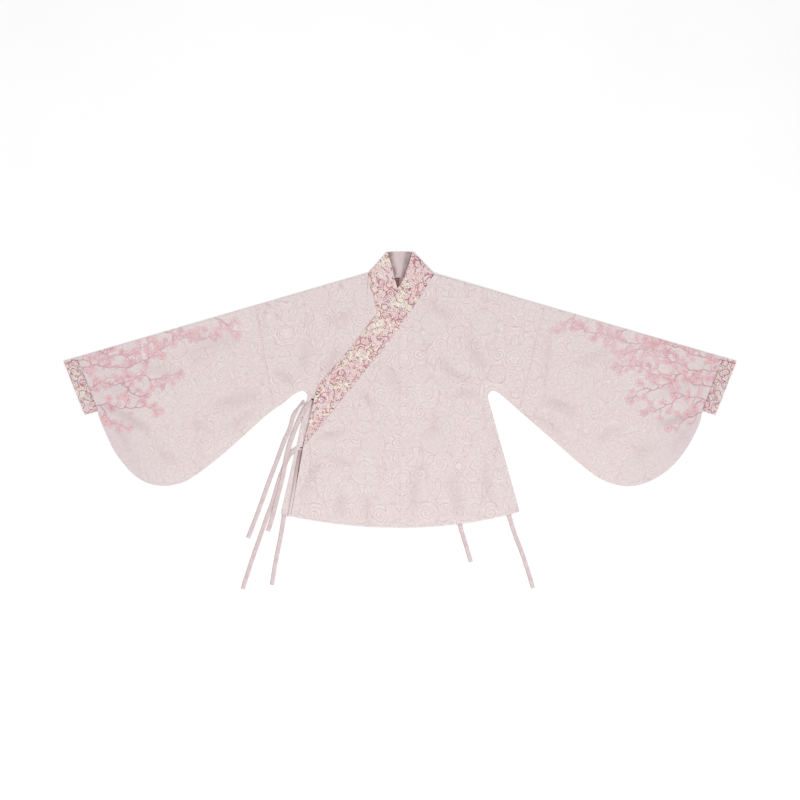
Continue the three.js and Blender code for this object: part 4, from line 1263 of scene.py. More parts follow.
def woven_figure():
    """Node group: place on the cloth to distances from the nearest line, motif and filled part."""
    group = bpy.data.node_groups.new("woven_figure", "ShaderNodeTree")
    for name in ("X", "Y"):
        group.interface.new_socket(name, in_out="INPUT", socket_type="NodeSocketFloat")
    for name in ("Line", "Motif", "Fill"):
        group.interface.new_socket(name, in_out="OUTPUT", socket_type="NodeSocketFloat")
    entry, leave = group.nodes.new("NodeGroupInput"), group.nodes.new("NodeGroupOutput")
    x, y = Value(group, entry.outputs["X"]), Value(group, entry.outputs["Y"])
    u = x.mirror(REPEAT_HALF)
    v = wrapped(y, 0)

    line = abs(radius(u, v) - MEDALLION_HEART)
    for ring in MEDALLION_RINGS:
        line = line.least(abs(rosette(u, v, *ring)))
    motif = radius(u, v) - MEDALLION_SIZE
    fill = rosette(u, v, *MEDALLION_FILL)
    for height, size in DROPS:
        beside = wrapped(y, height)
        drop = radius(u * beside.fade(-10, 16, 0.9, 1.5), beside) - size
        line = line.least(abs(drop)).least(abs(drop + 6))
        motif = motif.least(drop)
        fill = fill.least(drop + 9)
    for reach, height, tilt, length, width in LEAVES:
        edge, rib = leaf(*turned_by(u - reach, wrapped(y, height), tilt), length, width)
        line = line.least(abs(edge)).least(rib + 0.5)
        motif = motif.least(edge)
    for reach, height, size, pitch, turn in SCROLLS:
        beside, above = u - reach, wrapped(y, height)
        disc = radius(beside, above) - size
        line = line.least(spiral(beside, above, pitch, turn).most(disc))
        motif = motif.least(disc)
    for reach, height, size in ROUNDELS:
        beside, above = u - reach, wrapped(y, height)
        disc = rosette(beside, above, 14, size, 0.07)
        rising, falling = turned_by(beside, above, 45)
        lattice = abs(rising.repeat(LATTICE) - LATTICE / 2)
        lattice = lattice.least(abs(falling.repeat(LATTICE) - LATTICE / 2))
        line = line.least(abs(disc)).least((lattice + LATTICE_FAINT).most(disc + 4))
        motif = motif.least(disc)
    far_u = u * -1 + REPEAT_HALF
    for height, size in FLOWERS:
        above = wrapped(y, height)
        line = line.least(abs(rosette(far_u, above, 6, size, 0.3))).least(abs(radius(far_u, above) - 5))
        line = line.least(abs(radius(far_u, above) - size * 1.4))
        motif = motif.least(radius(far_u, above) - size * 1.45)
        fill = fill.least(rosette(far_u, above, 6, size - 2.5, 0.3))
    turn = y * (math.tau / REPEAT_LENGTH)
    stem = u - (turn.sin() * STEM_SWAY + (turn * 3).cos() * STEM_RIPPLE + STEM_PLACE)
    stem = abs(stem).least(abs(stem - 5) + 0.4)
    line = line.least(stem.most(motif * -1 + 1.5))
    for value, name in ((line, "Line"), (motif, "Motif"), (fill, "Fill")):
        group.links.new(value.socket, leave.inputs[name])
    return group


def mirrored_ground(cloth, x, y):
    """Distance to the scrolls that fill the ground between the motifs, mirrored like them."""
    across = x.mirror(REPEAT_HALF)
    wave = cloth.noise((across, y, 40.0), 0.05, 1.0) - 0.5
    across, up = across + wave * SCROLL_WAVE, y + wave * -SCROLL_WAVE
    cells = cloth.cells(cloth.join(across, up, 0.0), 1 / SCROLL_CELL, 0.9)
    middle_across, middle_up, _ = cloth.split(cells.outputs["Position"])
    tones = cloth.split(cells.outputs["Color"])
    across, up = across - middle_across, up - middle_up
    turns = angle(across, up) * tones[0].fade(0.49, 0.51, -1 / math.tau, 1 / math.tau)
    coil = (radius(across, up) / SCROLL_PITCH + turns + tones[1]).repeat(1.0)
    return abs(coil - 0.5) * SCROLL_PITCH


def crease_shade(x, y, rows):
    """How shaded the cloth is beside its creases, from their table."""
    shade = x * 0
    for x0, y0, x1, y1, height, width, bow in rows:
        dx, dy = x1 - x0, y1 - y0
        length = math.hypot(dx, dy)
        share = ((x - x0) * (dx / length**2) + (y - y0) * (dy / length**2)).most(0).least(1)
        crest = (share * math.pi).sin()
        away = (y - y0) * (dx / length) - (x - x0) * (dy / length) - crest * bow
        beside = abs(away / (width * SHADE_WIDTH)).fade(1, 0)
        shade = shade.most(crest * beside * (abs(height) * SHADE_DEPTH))
    return shade


def brocade_colour(cloth, shift, creases, tilt=0.0, depth=1.0):
    """The brocade's colour, how dark and how light it is there, and its own coordinates."""
    x, y, _ = cloth.place()
    shade = crease_shade(x, y, creases)
    x, y = turned_by(x - MIRROR_LINE[0] - shift[0], y - MIRROR_LINE[1] - shift[1], tilt)
    warp = cloth.noise((x, y, 0.0), 0.028, 2.0) - 0.5
    curl = cloth.noise((y, x, 9.0), 0.07, 1.0) - 0.5
    x, y = x + warp * WARP[0] + curl * CURL[0], y + warp * WARP[1] + curl * CURL[1]
    figure = cloth.node("ShaderNodeGroup", node_tree=woven)
    cloth.tree.links.new(x.socket, figure.inputs["X"])
    cloth.tree.links.new(y.socket, figure.inputs["Y"])
    line, motif, fill = (Value(cloth.tree, socket) for socket in figure.outputs)
    line = line.least(mirrored_ground(cloth, x, y).most(motif * -1 + 2))
    wear = cloth.noise((x, y, 3.0), 0.014, 3.0, 0.6)
    broken = cloth.noise((x, y, 14.0), 0.06, 2.0).fade(0.36, 0.6, 0.25, 1.0)
    strength = wear.fade(0.3, 0.7, 0.5, 1.0) * broken * depth
    dark = line.fade(LINE + LINE_FEATHER, LINE - 0.9) * strength
    light = line.fade(5.4, 3.0) * line.fade(LINE + 0.2, LINE + 1.6) * 0.8
    light = light.most(fill.area() * 0.6)
    mottle = cloth.noise((x, y, 21.0), 0.15, 3.0, 0.65)
    colour = cloth.over(
        BROCADE, (wear.fade(0.3, 0.75) * 0.5, BROCADE_PINK),
        (mottle.fade(0.5, 0.68) * 0.5, BROCADE_LIGHT),
        (mottle.fade(0.48, 0.34) * 0.4, BROCADE_LINE), (dark * 0.85, BROCADE_LINE),
        (light * strength, BROCADE_LIGHT), (shade, BROCADE_SHADE),
    )
    return colour, dark, light, (x, y)


def weave_height(x, y, pitch=0.9):
    """The threads, as the product of a wave each way."""
    return (x * (math.tau / pitch)).sin() * (y * (math.tau / pitch)).sin()


def brocade_height(cloth, x, y, dark, light):
    """Lines pressed in, light parts raised, threads, and a soft crumple."""
    crumple = cloth.noise((x, y, 5.0), 0.045, 4.0, 0.6)
    return dark * -0.18 + light * 0.1 + weave_height(x, y) * 0.05 + crumple * 1.1


def brocade(name, shift, creases):
    """The brocade of one panel; shift moves its figure from the next panel's."""
    cloth = Material(name, sheen=0.3, specular=0.35)
    colour, dark, light, (x, y) = brocade_colour(cloth, shift, creases)
    roughness = dark * 0.25 + light * -0.18 + 0.58
    return cloth.finish(colour, brocade_height(cloth, x, y, dark, light), 1.0, roughness)


PETALS = 5
PETAL_PINK = (0.74, 0.43, 0.45)
PETAL_DEEP = (0.56, 0.255, 0.29)
PETAL_MAUVE = (0.70, 0.49, 0.52)
TWIG_ROSE = (0.50, 0.25, 0.285)
CUFF_LAVENDER = (0.62, 0.53, 0.56)
SLEEVE_FIGURE = 0.75  # how strongly the woven figure shows under the print


def sleeve_brocade(name, shift, creases, tilt):
    """The brocade with faded blossom sprays, from the fields that the sleeve's mesh carries."""
    cloth = Material(name, sheen=0.3, specular=0.35)
    colour, dark, light, (x, y) = brocade_colour(cloth, shift, creases, tilt, SLEEVE_FIGURE)
    local_x, local_y, reach = cloth.split(cloth.attribute("spray"))
    tone = Value(cloth.tree, cloth.attribute("spray_tone", "Fac"))
    strength = Value(cloth.tree, cloth.attribute("spray_strength", "Fac"))
    signed, near, from_cuff = cloth.split(cloth.attribute("twig"))
    ragged = cloth.noise((x, y, 1.0), 0.15, 3.0) - 0.5

    r, turn = radius(local_x, local_y), angle(local_x, local_y)
    petal_wave = abs((turn * (PETALS / 2)).cos())
    lobes = petal_wave.power(0.55)
    notch = (petal_wave - 0.93).most(0) * 1.6
    outline = r - (lobes * 0.55 + 0.44 - notch) + ragged * 0.75
    petals = outline.fade(0.05, -0.04) * reach.fade(1.12, 1.0)
    edging = outline.stroke(0.09, 0.06) * reach.fade(1.2, 1.08) * ragged.fade(-0.14, 0.02)
    veins = abs((turn * (PETALS * 2.5)).sin()).fade(0.8, 1.0) * r.fade(0.25, 0.5) * 0.3
    gaps = petal_wave.fade(0.22, 0.02) * r.fade(0.15, 0.35)
    heart = r.fade(0.3, 0.14)
    stamens = (r - 0.34).stroke(0.05, 0.05) * abs((turn * PETALS).cos()).fade(0.5, 0.95)
    petal_colour = cloth.mix(tone.fade(0.15, 0.85), PETAL_PINK, PETAL_MAUVE)
    petal_colour = cloth.mix(tone.fade(0.75, 1.0) * 0.7, petal_colour, PETAL_DEEP)
    marks = (heart * 0.8).most(stamens * 0.9).most(gaps * 0.75)
    petal_colour = cloth.mix(marks, petal_colour, PETAL_DEEP)
    petal_colour = cloth.mix(veins * 1.6, petal_colour, BROCADE_LIGHT)

    twigs = abs(signed + ragged * 0.5).fade(1.5, 0.7) * near.fade(2.8, 1.8)
    colour = cloth.mix(from_cuff.fade(190, 10) * 0.42, colour, CUFF_LAVENDER)
    fading = cloth.noise((x, y, 7.0), 0.03, 2.0).fade(0.3, 0.65, 0.72, 1.0) * strength
    fading = fading * from_cuff.fade(300, 60, 1.0, 1.16)
    colour = cloth.over(
        colour, (petals * fading * 0.74, petal_colour), (edging * fading * 0.6, PETAL_DEEP),
        (twigs * fading * (petals * -0.4 + 0.75), TWIG_ROSE),
    )
    roughness = dark * 0.2 + light * -0.15 + petals * 0.08 + 0.58
    return cloth.finish(colour, brocade_height(cloth, x, y, dark, light), 1.0, roughness)


# ---- the printed bands ----
BAND_PALE = (0.72, 0.60, 0.595)
BAND_PEACH = (0.74, 0.545, 0.53)
BAND_CREAM = (0.77, 0.71, 0.58)
BAND_WHITE = (0.93, 0.91, 0.83)
BAND_GREEN = (0.52, 0.55, 0.39)
BAND_MAUVE = (0.50, 0.36, 0.42)
BAND_ROSE = (0.50, 0.185, 0.225)
BAND_DEEP = (0.27, 0.07, 0.10)
BAND_PETAL = (0.70, 0.47, 0.465)
CUFF_GREY = (0.61, 0.525, 0.525)
CLOUD_CELL, CLOUD_SIZE = 19, 8.6
LARGE_BLOSSOMS, SMALL_BLOSSOMS = (17, 7.5), (12, 4.1)  # cell and size
BAND_WARP = 7


def blossom_layer(cloth, vector, cell, size):
    """Blossoms strewn in random cells: signed distance, radius and random tones of each."""
    node = cloth.cells(vector, 1 / cell, 0.85)
    middle = cloth.split(node.outputs["Position"])
    here = cloth.split(vector)
    tones = cloth.split(node.outputs["Color"])
    x, y = here[0] - middle[0], here[1] - middle[1]
    turn = angle(x, y) + tones[0] * math.tau
    r = radius(x, y) / (tones[1] * (0.4 * size) + 0.75 * size)
    outline = r - (abs((turn * (PETALS / 2)).cos()).power(0.6) * 0.38 + 0.6)
    return outline, r, tones


def printed_band():
    """Clouds of small blossoms in rose outlines, on pale patches with cream and green speckles."""
    cloth = Material("printed_band", roughness=0.75, sheen=0.2, specular=0.2)
    vector = cloth.attribute("band")
    x, y, z = cloth.split(vector)
    warp_x = cloth.noise(vector, 0.09, 2.0) - 0.5
    warp_y = cloth.noise((y, x, z), 0.09, 2.0) - 0.5
    warped = cloth.join(x + warp_x * BAND_WARP, y + warp_y * BAND_WARP, z)

    patches = cloth.noise(vector, 0.024, 2.0)
    on_cuff = abs(z).fade(20, 30)
    cream = cloth.noise((x, y, z + 50), 0.022, 2.0, 0.55).fade(0.5, 0.56)
    cream = cream * (on_cuff * -0.65 + 1)
    colour = cloth.over(
        BAND_PEACH, (patches.fade(0.42, 0.56), BAND_PALE), (on_cuff * 0.7, CUFF_GREY),
        (cream * 0.85, BAND_CREAM),
    )
    speckle = cloth.noise((x, y, z + 80), 0.33, 1.5)
    colour = cloth.mix(speckle.fade(0.54, 0.62) * (cream * 0.6 + 0.35), colour, BAND_WHITE)
    green = cloth.noise((x, y, z + 95), 0.3, 1.0)
    colour = cloth.mix(green.fade(0.58, 0.66) * (cream * 0.6 + 0.06), colour, BAND_GREEN)
    dots = cloth.noise((x, y, z + 125), 0.36, 1.0)
    colour = cloth.mix(dots.fade(0.6, 0.68) * (cream * -0.3 + 0.6), colour, BAND_ROSE)

    outline, r, tones = blossom_layer(cloth, warped, *LARGE_BLOSSOMS)
    shown = tones[2].fade(0.3, 0.34)
    petal = cloth.over(
        BAND_PALE, (tones[1], BAND_PETAL), (r.fade(0.7, 0.3) * 0.6, BAND_WHITE),
        (r.fade(0.26, 0.14), BAND_ROSE),
    )
    colour = cloth.mix(outline.fade(0.05, -0.05) * shown * 0.8, colour, petal)
    broken = cloth.noise((x, y, z + 64), 0.12, 1.0).fade(0.36, 0.5)
    colour = cloth.mix(outline.stroke(0.09, 0.08) * shown * broken * 0.85, colour, BAND_ROSE)

    cloud = cloth.cells(warped, 1 / CLOUD_CELL)
    away = Value(cloth.tree, cloud.outputs["Distance"]) * CLOUD_CELL
    border = (away - CLOUD_SIZE).stroke(0.85, 0.5)
    lobes = cloth.noise((x, y, z + 30), 0.035, 1.0)
    shown = (lobes - 0.5).stroke(0.07, 0.03).most(on_cuff * 0.8)
    colour = cloth.mix(border * shown * 0.95, colour, BAND_DEEP)
    ribbon = (lobes * 5).repeat(1.0) - 0.5
    colour = cloth.mix(ribbon.stroke(0.045, 0.04) * broken * 0.9, colour, BAND_ROSE)

    strewn = cloth.join(x + 300, y + warp_x * 5, z)
    outline, r, tones = blossom_layer(cloth, strewn, *SMALL_BLOSSOMS)
    shown = tones[2].fade(0.58, 0.62)
    small = cloth.mix(tones[0].fade(0.4, 0.6), BAND_DEEP, BAND_MAUVE)
    small = cloth.mix(r.fade(0.5, 0.3), small, BAND_WHITE)
    colour = cloth.mix(outline.fade(0.12, -0.08) * shown * 0.85, colour, small)
    grain = cloth.noise((x, y, z + 11), 0.9, 2.0)
    height = weave_height(x, y, 1.1) * 0.06 + grain * 0.12 + patches * 0.5
    return cloth.finish(colour, height, 1.0)


LINING = (0.60, 0.485, 0.485)
LINING_SHADE = (0.24, 0.15, 0.155)
# painted shade: the foot of the neck opening is a thin sheet in these colours, the collar's inner print
# in deep shade
NECK_SHADOW_BROWN = (0.10, 0.048, 0.044)
NECK_SHADOW_PALE = (0.20, 0.115, 0.105)
NECK_SHADED_PINK = (0.42, 0.26, 0.27)
NECK_FOOT, NECK_TOP, NECK_HALF_WIDTH = 345, 440, 30  # the opening that shows the collar's lining
SHADE_SHEET = {"left": -14, "right": 6, "foot": 338, "head": 372, "height": 1.3, "thickness": 0.35}


def collar_lining():
    """The collar's lining, shaded towards the sides and the foot of the neck opening."""
    cloth = Material("collar_lining", roughness=0.78, sheen=0.2)
    x, y, z = cloth.place()
    clouds = cloth.noise((x, y, z), 0.05, 3.0, 0.6)
    up = (y - NECK_FOOT) / (NECK_TOP - NECK_FOOT)
    beside = abs(x + clouds * 10 - 2) / (up * NECK_HALF_WIDTH).most(5.0)
    shade = beside.fade(0.28, 0.92).most(up.fade(0.5, 0.1) * 0.8)
    colour = cloth.mix(shade * 0.8, LINING, LINING_SHADE)
    colour = cloth.mix(clouds.fade(0.4, 0.7) * 0.3, colour, BROCADE)
    return cloth.finish(colour, clouds)


TIE_SHADE = (0.61, 0.485, 0.49)
TIE_PALE = (0.70, 0.585, 0.585)
TIE_FIGURE = (0.50, 0.365, 0.375)
TIE_EDGE_SHADOW = (0.34, 0.215, 0.23)
# painted shade on the side hem, where the overlap and the collar's tip shade it
HEM_SHADE_BROWN = (0.44, 0.305, 0.295)
HEM_PALE = (0.70, 0.60, 0.595)
HEM_SHADOW_DARK = (0.16, 0.075, 0.08)
# the piping's colours: partly its dark edge, partly painted shadow along the free edge
PIPING_SHADOW_DARK = (0.13, 0.06, 0.06)
PIPING_PALE = (0.48, 0.36, 0.355)


def plain_cloth(name, colour, shade, roughness=0.62, scale=0.03):
    """Unfigured cloth and thread: the reverse of the brocade, the stitches and the tacks."""
    cloth = Material(name, roughness=roughness, sheen=0.25)
    x, y, z = cloth.place()
    vector = cloth.join(x, y, z)
    clouds = cloth.noise(vector, scale, 3.0, 0.6)
    streaks = cloth.noise((x * 0.25, y * 1.6, z), 0.5, 2.0)
    tinted = cloth.mix(clouds.fade(0.3, 0.7), colour, shade)
    tinted = cloth.mix(streaks.fade(0.5, 0.75) * 0.25, tinted, BROCADE_LINE)
    height = weave_height(x, y) * 0.05 + clouds * 0.6 + streaks * 0.06
    return cloth.finish(tinted, height, 1.0)


def tie_surface():
    """The ties are cut from the brocade: mottled by its figure, with a broken painted shadow along one
    edge.
    """
    cloth = Material("tie_cloth", roughness=0.62, sheen=0.25)
    along_it, across_it, number = cloth.split(cloth.attribute("strip"))
    vector = cloth.join(along_it, across_it * (TIE_WIDTH / 2), number * 31)
    clouds = cloth.noise(vector, 0.05, 3.0, 0.6)
    figure = cloth.noise(vector, 0.2, 2.0, 0.6)
    colour = cloth.over(
        TIE_SHADE, (clouds.fade(0.3, 0.7), TIE_PALE), (figure.fade(0.52, 0.62) * 0.5, TIE_FIGURE),
        # painted shadow along the tie's edge where across is -1, broken up by the clouds
        (across_it.fade(-0.45, -0.95) * clouds.fade(0.35, 0.6) * 0.6, TIE_EDGE_SHADOW),
    )
    height = weave_height(along_it, across_it * (TIE_WIDTH / 2)) * 0.05 + clouds * 0.6 + figure * 0.1
    return cloth.finish(colour, height, 1.0)


def piping_shadow_surface():
    """Painted shadow, darkest near the two tacks, paler between them and towards the hem."""
    cloth = Material("piping_shadow", roughness=0.7, sheen=0.2)
    x, y, z = cloth.place()
    twist = cloth.noise((x * 3, y * 0.7, z), 0.5, 2.0)
    between = (y + 4).stroke(36, 14).most(y.fade(-138, -175))
    colour = cloth.mix(between, PIPING_SHADOW_DARK, PIPING_PALE)
    colour = cloth.mix(twist.fade(0.4, 0.7) * 0.5, colour, PIPING_PALE)
    return cloth.finish(colour, twist, 0.4)


def neck_shade_cloth():
    """Painted deep shade over the collar's inner print in the foot of the neck opening: dark brown, and a
    paler shaded pink along the outer band.
    """
    cloth = Material("neck_shade_sheet", roughness=0.8, sheen=0.2)
    x, y, z = cloth.place()
    clouds = cloth.noise((x, y, z), 0.2, 3.0, 0.6)
    colour = cloth.mix(clouds.fade(0.3, 0.7), NECK_SHADOW_BROWN, NECK_SHADOW_PALE)
    beside_band = (x + (y - SHADE_SHEET["head"]) * -0.13 + 1).fade(-1.5, 3)
    colour = cloth.mix(beside_band * 0.85, colour, NECK_SHADED_PINK)
    return cloth.finish(colour, clouds)


def side_hem_cloth():
    """The narrow hem, with painted shade: brown at the top under the collar's tip, paler towards the
    foot, and dark painted shadow beside the overlap at the top, in a slanting line and along its far
    edge.
    """
    cloth = Material("side_hem", roughness=0.68, sheen=0.2)
    down, aside, _ = cloth.split(cloth.attribute("strip"))
    x, y, z = cloth.place()
    clouds = cloth.noise((x, y, z), 0.06, 3.0, 0.6)
    lower = (down + clouds * 0.3).fade(0.1, 0.95)
    colour = cloth.mix(lower, HEM_SHADE_BROWN, HEM_PALE)
    # painted shadow beside the overlap's edge, in a slanting line lower down, and along the far edge
    fold = aside.fade(0.42, 0.1) * (down + clouds * 0.2).fade(0.75, 0.1)
    shadow_line = (aside - down * 0.3 - 0.55).stroke(0.1, 0.1) * down.fade(0.2, 0.6) * 0.6
    colour = cloth.mix(fold.most(shadow_line) * 0.85, colour, HEM_SHADOW_DARK)
    colour = cloth.mix(aside.fade(0.8, 1.0) * down.fade(1.0, 0.4) * 0.6, colour, HEM_SHADOW_DARK)
    return cloth.finish(colour, clouds)


def floor_surface():
    """The plain pale floor."""
    ground = Material("floor", roughness=0.9, sheen=0.0, specular=0.1)
    x, y, z = ground.place()
    mottle = ground.noise((x, y, z), 0.004, 2.0)
    colour = ground.mix(mottle.fade(0.3, 0.7), (0.955, 0.955, 0.955), (0.965, 0.965, 0.965))
    return ground.finish(colour)


# ---- the floor, the light and the camera ----
FLOOR_SIZE, FLOOR_LEVEL = 12, -0.0004  # metres
PHOTO_WIDTH = 2.08  # metres of ground across the picture
PICTURE_CENTRE = (0.0, 0.054)
LENS = 85.0
SENSOR = 36.0
SKY_STRENGTH = 0.78
LIGHTS = [  # name, place in metres, size in metres and power
    ("key", (0.35, -2.0, 2.7), 1.6, 42),
    ("fill", (-0.6, 1.3, 3.1), 2.4, 12),
]


def make_stage():
    """The floor, the camera straight above the jacket, two soft lights and a pale sky."""
    bpy.ops.mesh.primitive_plane_add(size=FLOOR_SIZE, location=(0, 0, FLOOR_LEVEL))
    floor = bpy.context.active_object
    floor.name = "floor"
    floor.data.materials.append(looks["floor"])
    camera_data = bpy.data.cameras.new("camera")
    camera_data.lens = LENS
    camera_data.sensor_width = SENSOR
    camera = bpy.data.objects.new("camera", camera_data)
    camera.location = (*PICTURE_CENTRE, PHOTO_WIDTH * LENS / SENSOR)
    bpy.context.scene.collection.objects.link(camera)
    bpy.context.scene.camera = camera
    for name, place, size, power in LIGHTS:
        light_data = bpy.data.lights.new(name, "AREA")
        light_data.size = size
        light_data.energy = power
        light = bpy.data.objects.new(name, light_data)
        light.location = place
        light.rotation_euler = (-Vector(place)).to_track_quat("-Z", "Y").to_euler()
        bpy.context.scene.collection.objects.link(light)
    world = bpy.data.worlds.new("studio")
    world.use_nodes = True
    world.node_tree.nodes["Background"].inputs["Color"].default_value = (1, 1, 1, 1)
    world.node_tree.nodes["Background"].inputs["Strength"].default_value = SKY_STRENGTH
    bpy.context.scene.world = world
    bpy.context.scene.view_settings.view_transform = "Standard"


SLEEVE_TILT = math.degrees(math.atan(SHOULDER_SLOPE))
woven = woven_figure()
looks = {
    "body_left_half": brocade("brocade_left_half", (0, 0), BODY_CREASES),
    "body_right_half": brocade("brocade_right_half", (-16, 64), RIGHT_CREASES),
    "outer_overlap": brocade("brocade_outer_overlap", (0, -6), BODY_CREASES),
    "inner_overlap": brocade("brocade_inner_overlap", (60, 10), []),
    "sleeve_left": sleeve_brocade("sleeve_brocade_left", (12, 60), SLEEVE_CREASES[1], -SLEEVE_TILT),
    "sleeve_right": sleeve_brocade("sleeve_brocade_right", (88, -20), SLEEVE_CREASES[-1], SLEEVE_TILT),
    "band_cloth": printed_band(),
    "tie_cloth": tie_surface(),
    "reverse": plain_cloth("brocade_reverse", (0.60, 0.47, 0.48), (0.66, 0.54, 0.545), 0.75),
    "lining": collar_lining(),
    # painted shade in the foot of the neck opening
    "neck_shade": neck_shade_cloth(),
    "side_hem": side_hem_cloth(),
    "thread": plain_cloth("thread", (0.62, 0.46, 0.48), (0.66, 0.52, 0.53), 0.6),
    # near-black: thread, and painted shade where the ties are sewn
    "tack": plain_cloth("tack_thread_and_shade", (0.07, 0.03, 0.035), (0.12, 0.055, 0.065), 0.7),
    "piping_shadow": piping_shadow_surface(),
    "floor": floor_surface(),
}

# ---- the jacket ----
make_stage()


def panel_edge(rows):
    """The panels' edge beside the collar's seam, from the collar's sections."""
    path = np.array([row[:2] for row in rows], float)
    return path + left_of(path) * PANEL_GAP


def from_centre(path, side):
    """A path whose first stretch crosses the centre line, from half a seam beside that line."""
    path = path * np.array([side, 1])
    share = (SEAM / 2 - path[0, 0]) / (path[1, 0] - path[0, 0])
    return np.vstack([path[0] + share * (path[1] - path[0]), path[1:]])


outer_seam = panel_edge([LEFT_NECK_FOLD, *OUTER_BAND])
inner_seam = panel_edge([*INNER_BAND, RIGHT_NECK_FOLD])
outer_centre = 1 + [row[0] for row in OUTER_BAND].index(0)
inner_centre = [row[0] for row in INNER_BAND].index(0)
outer_to_neck = from_centre(outer_seam[: outer_centre + 1][::-1], 1)
outer_to_tip = from_centre(outer_seam[outer_centre:], -1)
inner_to_neck = from_centre(inner_seam[inner_centre:], -1)
inner_to_tip = from_centre(inner_seam[: inner_centre + 1][::-1], 1)


def back_neck(fold):
    """Ends of the back's neck edge: its middle and below the collar's fold."""
    middle = (SEAM / 2, BACK_STAND[1][1] - PANEL_GAP)
    return middle, (abs(fold[0]), fold[1] - BACK_NECK_DIP)


# flat is in metres and area in square metres
left, right = HALVES["left"], HALVES["right"]
overlap(
    "inner_overlap", left, inner_to_tip, INNER_OVERLAP_FOOT, INNER_HEM_RISE, INNER_LEVEL, [],
    flat=(0.268, 0.43), area=0.0708, rests_on=["body_left_half_cloth"],
)
body_half(
    "body_right_half", right, inner_to_neck, back_neck(RIGHT_NECK_FOLD), RIGHT_CREASES,
    flat=(0.377, 1.32), area=0.378,
)
body_half(
    "body_left_half", left, outer_to_neck, back_neck(LEFT_NECK_FOLD), BODY_CREASES,
    flat=(0.377, 1.32), area=0.3745,
)
outer_free = overlap(
    "outer_overlap", right, outer_to_tip, OUTER_OVERLAP_FOOT, 0, OUTER_LEVEL, BODY_CREASES,
    flat=(0.283, 0.52), area=0.0924, rests_on=["body_right_half_cloth"],
)
side_hem("outer_overlap_side_hem", outer_free, flat=(0.011, 0.17), area=0.0018)
sleeve("sleeve_left", left, flat=(0.50, 0.79), area=0.322)
sleeve("sleeve_right", right, flat=(0.50, 0.79), area=0.310)
cuff("cuff_left", left, flat=(0.036, 0.30), area=0.0105)
cuff("cuff_right", right, flat=(0.036, 0.30), area=0.0105)
collar("collar", flat=(0.066, 1.17), area=0.0766)
for node, rows in TIES.items():
    tie(node, rows)

# ---- the neck's sheet of painted shade, stitches, and the piping of the free edge, dark as painted shadow ----
STITCH = {"pitch": 4.2, "length": 3.0, "width": 0.55, "height": 0.3}
THREAD_RINGS = ((0, 0.3), (0.2, 1), (0.8, 1), (1, 0.3))  # share of the length, share of the width
TACKS = [  # x, y and heading in degrees, length and width of each bar tack
    (-226.0, 55.0, -12, 9.0, 5.5), (-255.0, -70.0, -12, 9.0, 3.6), (-215.6, 68.0, 35, 6.0, 2.4),
]
BESIDE = 2.5  # how far beside a tack or the piping the height of the cloth is taken
RAY_START = 0.1  # metres
TACK_PITCH = 1.1
TACK_THREAD = (1.4, 0.5)  # width and height
# a thin dark tube along the free edge, partly a dark edge and partly painted shadow
SHADOW_PIPING_PATH = [  # x, y and radius
    (-225.4, 55.5, 0.8), (-239.5, -8, 0.55), (-252.4, -66, 0.8), (-256.6, -86, 1.2),
    (-262.6, -125, 1.3), (-267.2, -150, 0.8), (-282.9, -242.5, 0.4),
]


def neck_shade_sheet():
    """A thin dark sheet that stands in for the deep shade over the collar's inner print, in the foot of
    the neck opening.
    """
    across = np.linspace(SHADE_SHEET["left"], SHADE_SHEET["right"], 11)
    up = np.linspace(SHADE_SHEET["foot"], SHADE_SHEET["head"], 18)
    plan = np.stack(np.meshgrid(across, up, indexing="ij"), axis=-1)
    wave = 0.12 * np.sin(plan[..., 0] / 3.1) * np.sin(plan[..., 1] / 6.3)
    cloth = Cloth()
    cloth.add(*skins(plan, SHADE_SHEET["height"] + 0.12 + wave, SHADE_SHEET["thickness"]))
    rests = ["body_left_half_cloth", "body_right_half_cloth"]
    flat = ((SHADE_SHEET["right"] - SHADE_SHEET["left"]) * MM, (SHADE_SHEET["head"] - SHADE_SHEET["foot"]) * MM)
    cloth.piece(
        "neck_shade_sheet", "printed_band", "laid", rests, flat, look="neck_shade", inside="neck_shade", replaces=False
    )


def thread_piece(name, runs, look):
    """One mesh of slim raised stitches. runs: start, end, width and height of each, in millimetres."""
    points, faces = [], []
    for start, end, width, height in runs:
        step = end - start
        beside = np.cross([0, 0, 1], step)
        beside = beside / np.linalg.norm(beside) * width / 2
        upright = np.cross(step, beside)
        upright = upright / np.linalg.norm(upright) * height
        base = len(points)
        for share, size in THREAD_RINGS:
            middle = start + step * share
            points += [middle + corner * size for corner in (beside, upright, -beside, -upright)]
        for ring in range(len(THREAD_RINGS) - 1):
            low = base + 4 * ring
            for k in range(4):
                m = (k + 1) % 4
                faces.append((low + k, low + 4 + k, low + 4 + m, low + m))
        last = base + 4 * (len(THREAD_RINGS) - 1)
        faces += [(base, base + 1, base + 2, base + 3), (last + 3, last + 2, last + 1, last)]
    trim_piece(name, points, faces, look, SHARP_THREAD)


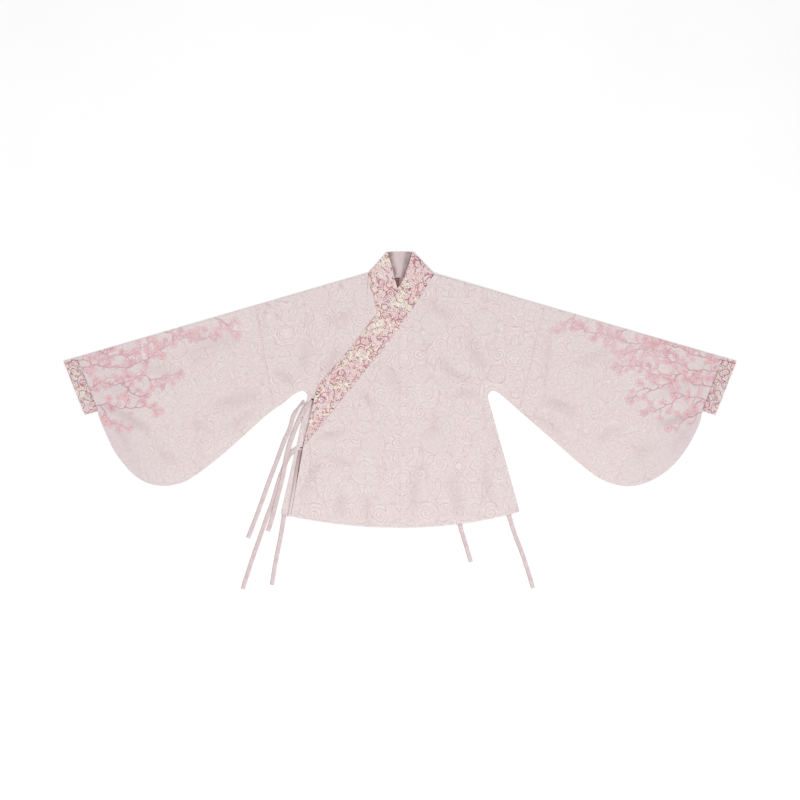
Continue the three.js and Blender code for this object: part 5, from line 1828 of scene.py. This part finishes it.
def stitches():
    """The lines of stitches along hems, seams and bands."""
    runs = []
    for line in stitch_lines:
        length = length_of(line)
        starts = np.arange(STITCH["pitch"], length - STITCH["pitch"], STITCH["pitch"])
        heads = along(line, starts / length)
        tails = along(line, (starts + STITCH["length"]) / length)
        runs += [(head, tail, STITCH["width"], STITCH["height"]) for head, tail in zip(heads, tails)]
    thread_piece("stitches", runs, "thread")


def top_at(x, y):
    """Height of whatever lies highest at a spot."""
    seen = bpy.context.evaluated_depsgraph_get()
    _, place, *_ = bpy.context.scene.ray_cast(seen, (x * MM, y * MM, RAY_START), (0, 0, -1))
    return place[2] / MM


def bar_tacks():
    """Short satin-stitched bars where the collar's tip and the side hem are held down; their near-black
    thread is partly painted shade where the ties are sewn.
    """
    runs = []
    for x, y, heading, length, width in TACKS:
        ahead = np.array([math.cos(math.radians(heading)), math.sin(math.radians(heading)), 0])
        beside = np.array([-ahead[1], ahead[0], 0])
        top = max(top_at(x + BESIDE * step, y) for step in (-1, 0, 1))
        middle = np.array([x, y, top + 0.15])
        count = round(length / TACK_PITCH)
        for row in range(count):
            spot = middle + ahead * (row - (count - 1) / 2) * TACK_PITCH
            reach = beside * width / 2 * (0.85 + 0.3 * (row % 2))
            runs.append((spot - reach, spot + reach, *TACK_THREAD))
    thread_piece("bar_tacks", runs, "tack")


def edge_shadow_piping():
    """A thin dark tube down the outer overlap's free edge, thinner towards the hem: partly a dark edge
    and partly painted shadow.
    """
    path = spline([(x, y, top_at(x + BESIDE, y) - 0.1, radius) for x, y, radius in SHADOW_PIPING_PATH], 2.5)
    path, radii = path[:, :3], path[:, 3]
    ahead = np.gradient(path, axis=0)
    ahead /= np.linalg.norm(ahead, axis=1)[:, None]
    beside = np.cross([0, 0, 1.0], ahead)
    upright = np.cross(ahead, beside)
    turns = np.linspace(0, math.tau, 9)[:-1]
    radii = radii * (1 + 0.12 * np.sin(np.arange(len(path)) / 2.3))
    ring = beside[:, None] * np.cos(turns)[:, None] + upright[:, None] * np.sin(turns)[:, None]
    points = path[:, None] + ring * radii[:, None, None]
    ids = np.arange(points.shape[0] * 8).reshape(-1, 8)
    after = np.roll(ids, -1, axis=1)
    quads = np.stack([ids[:-1], after[:-1], after[1:], ids[1:]], axis=-1).reshape(-1, 4)
    faces = [*quads.tolist(), ids[0, ::-1].tolist(), ids[-1].tolist()]
    trim_piece("edge_shadow_piping", points, faces, "piping_shadow")


neck_shade_sheet()
bar_tacks()
edge_shadow_piping()
stitches()
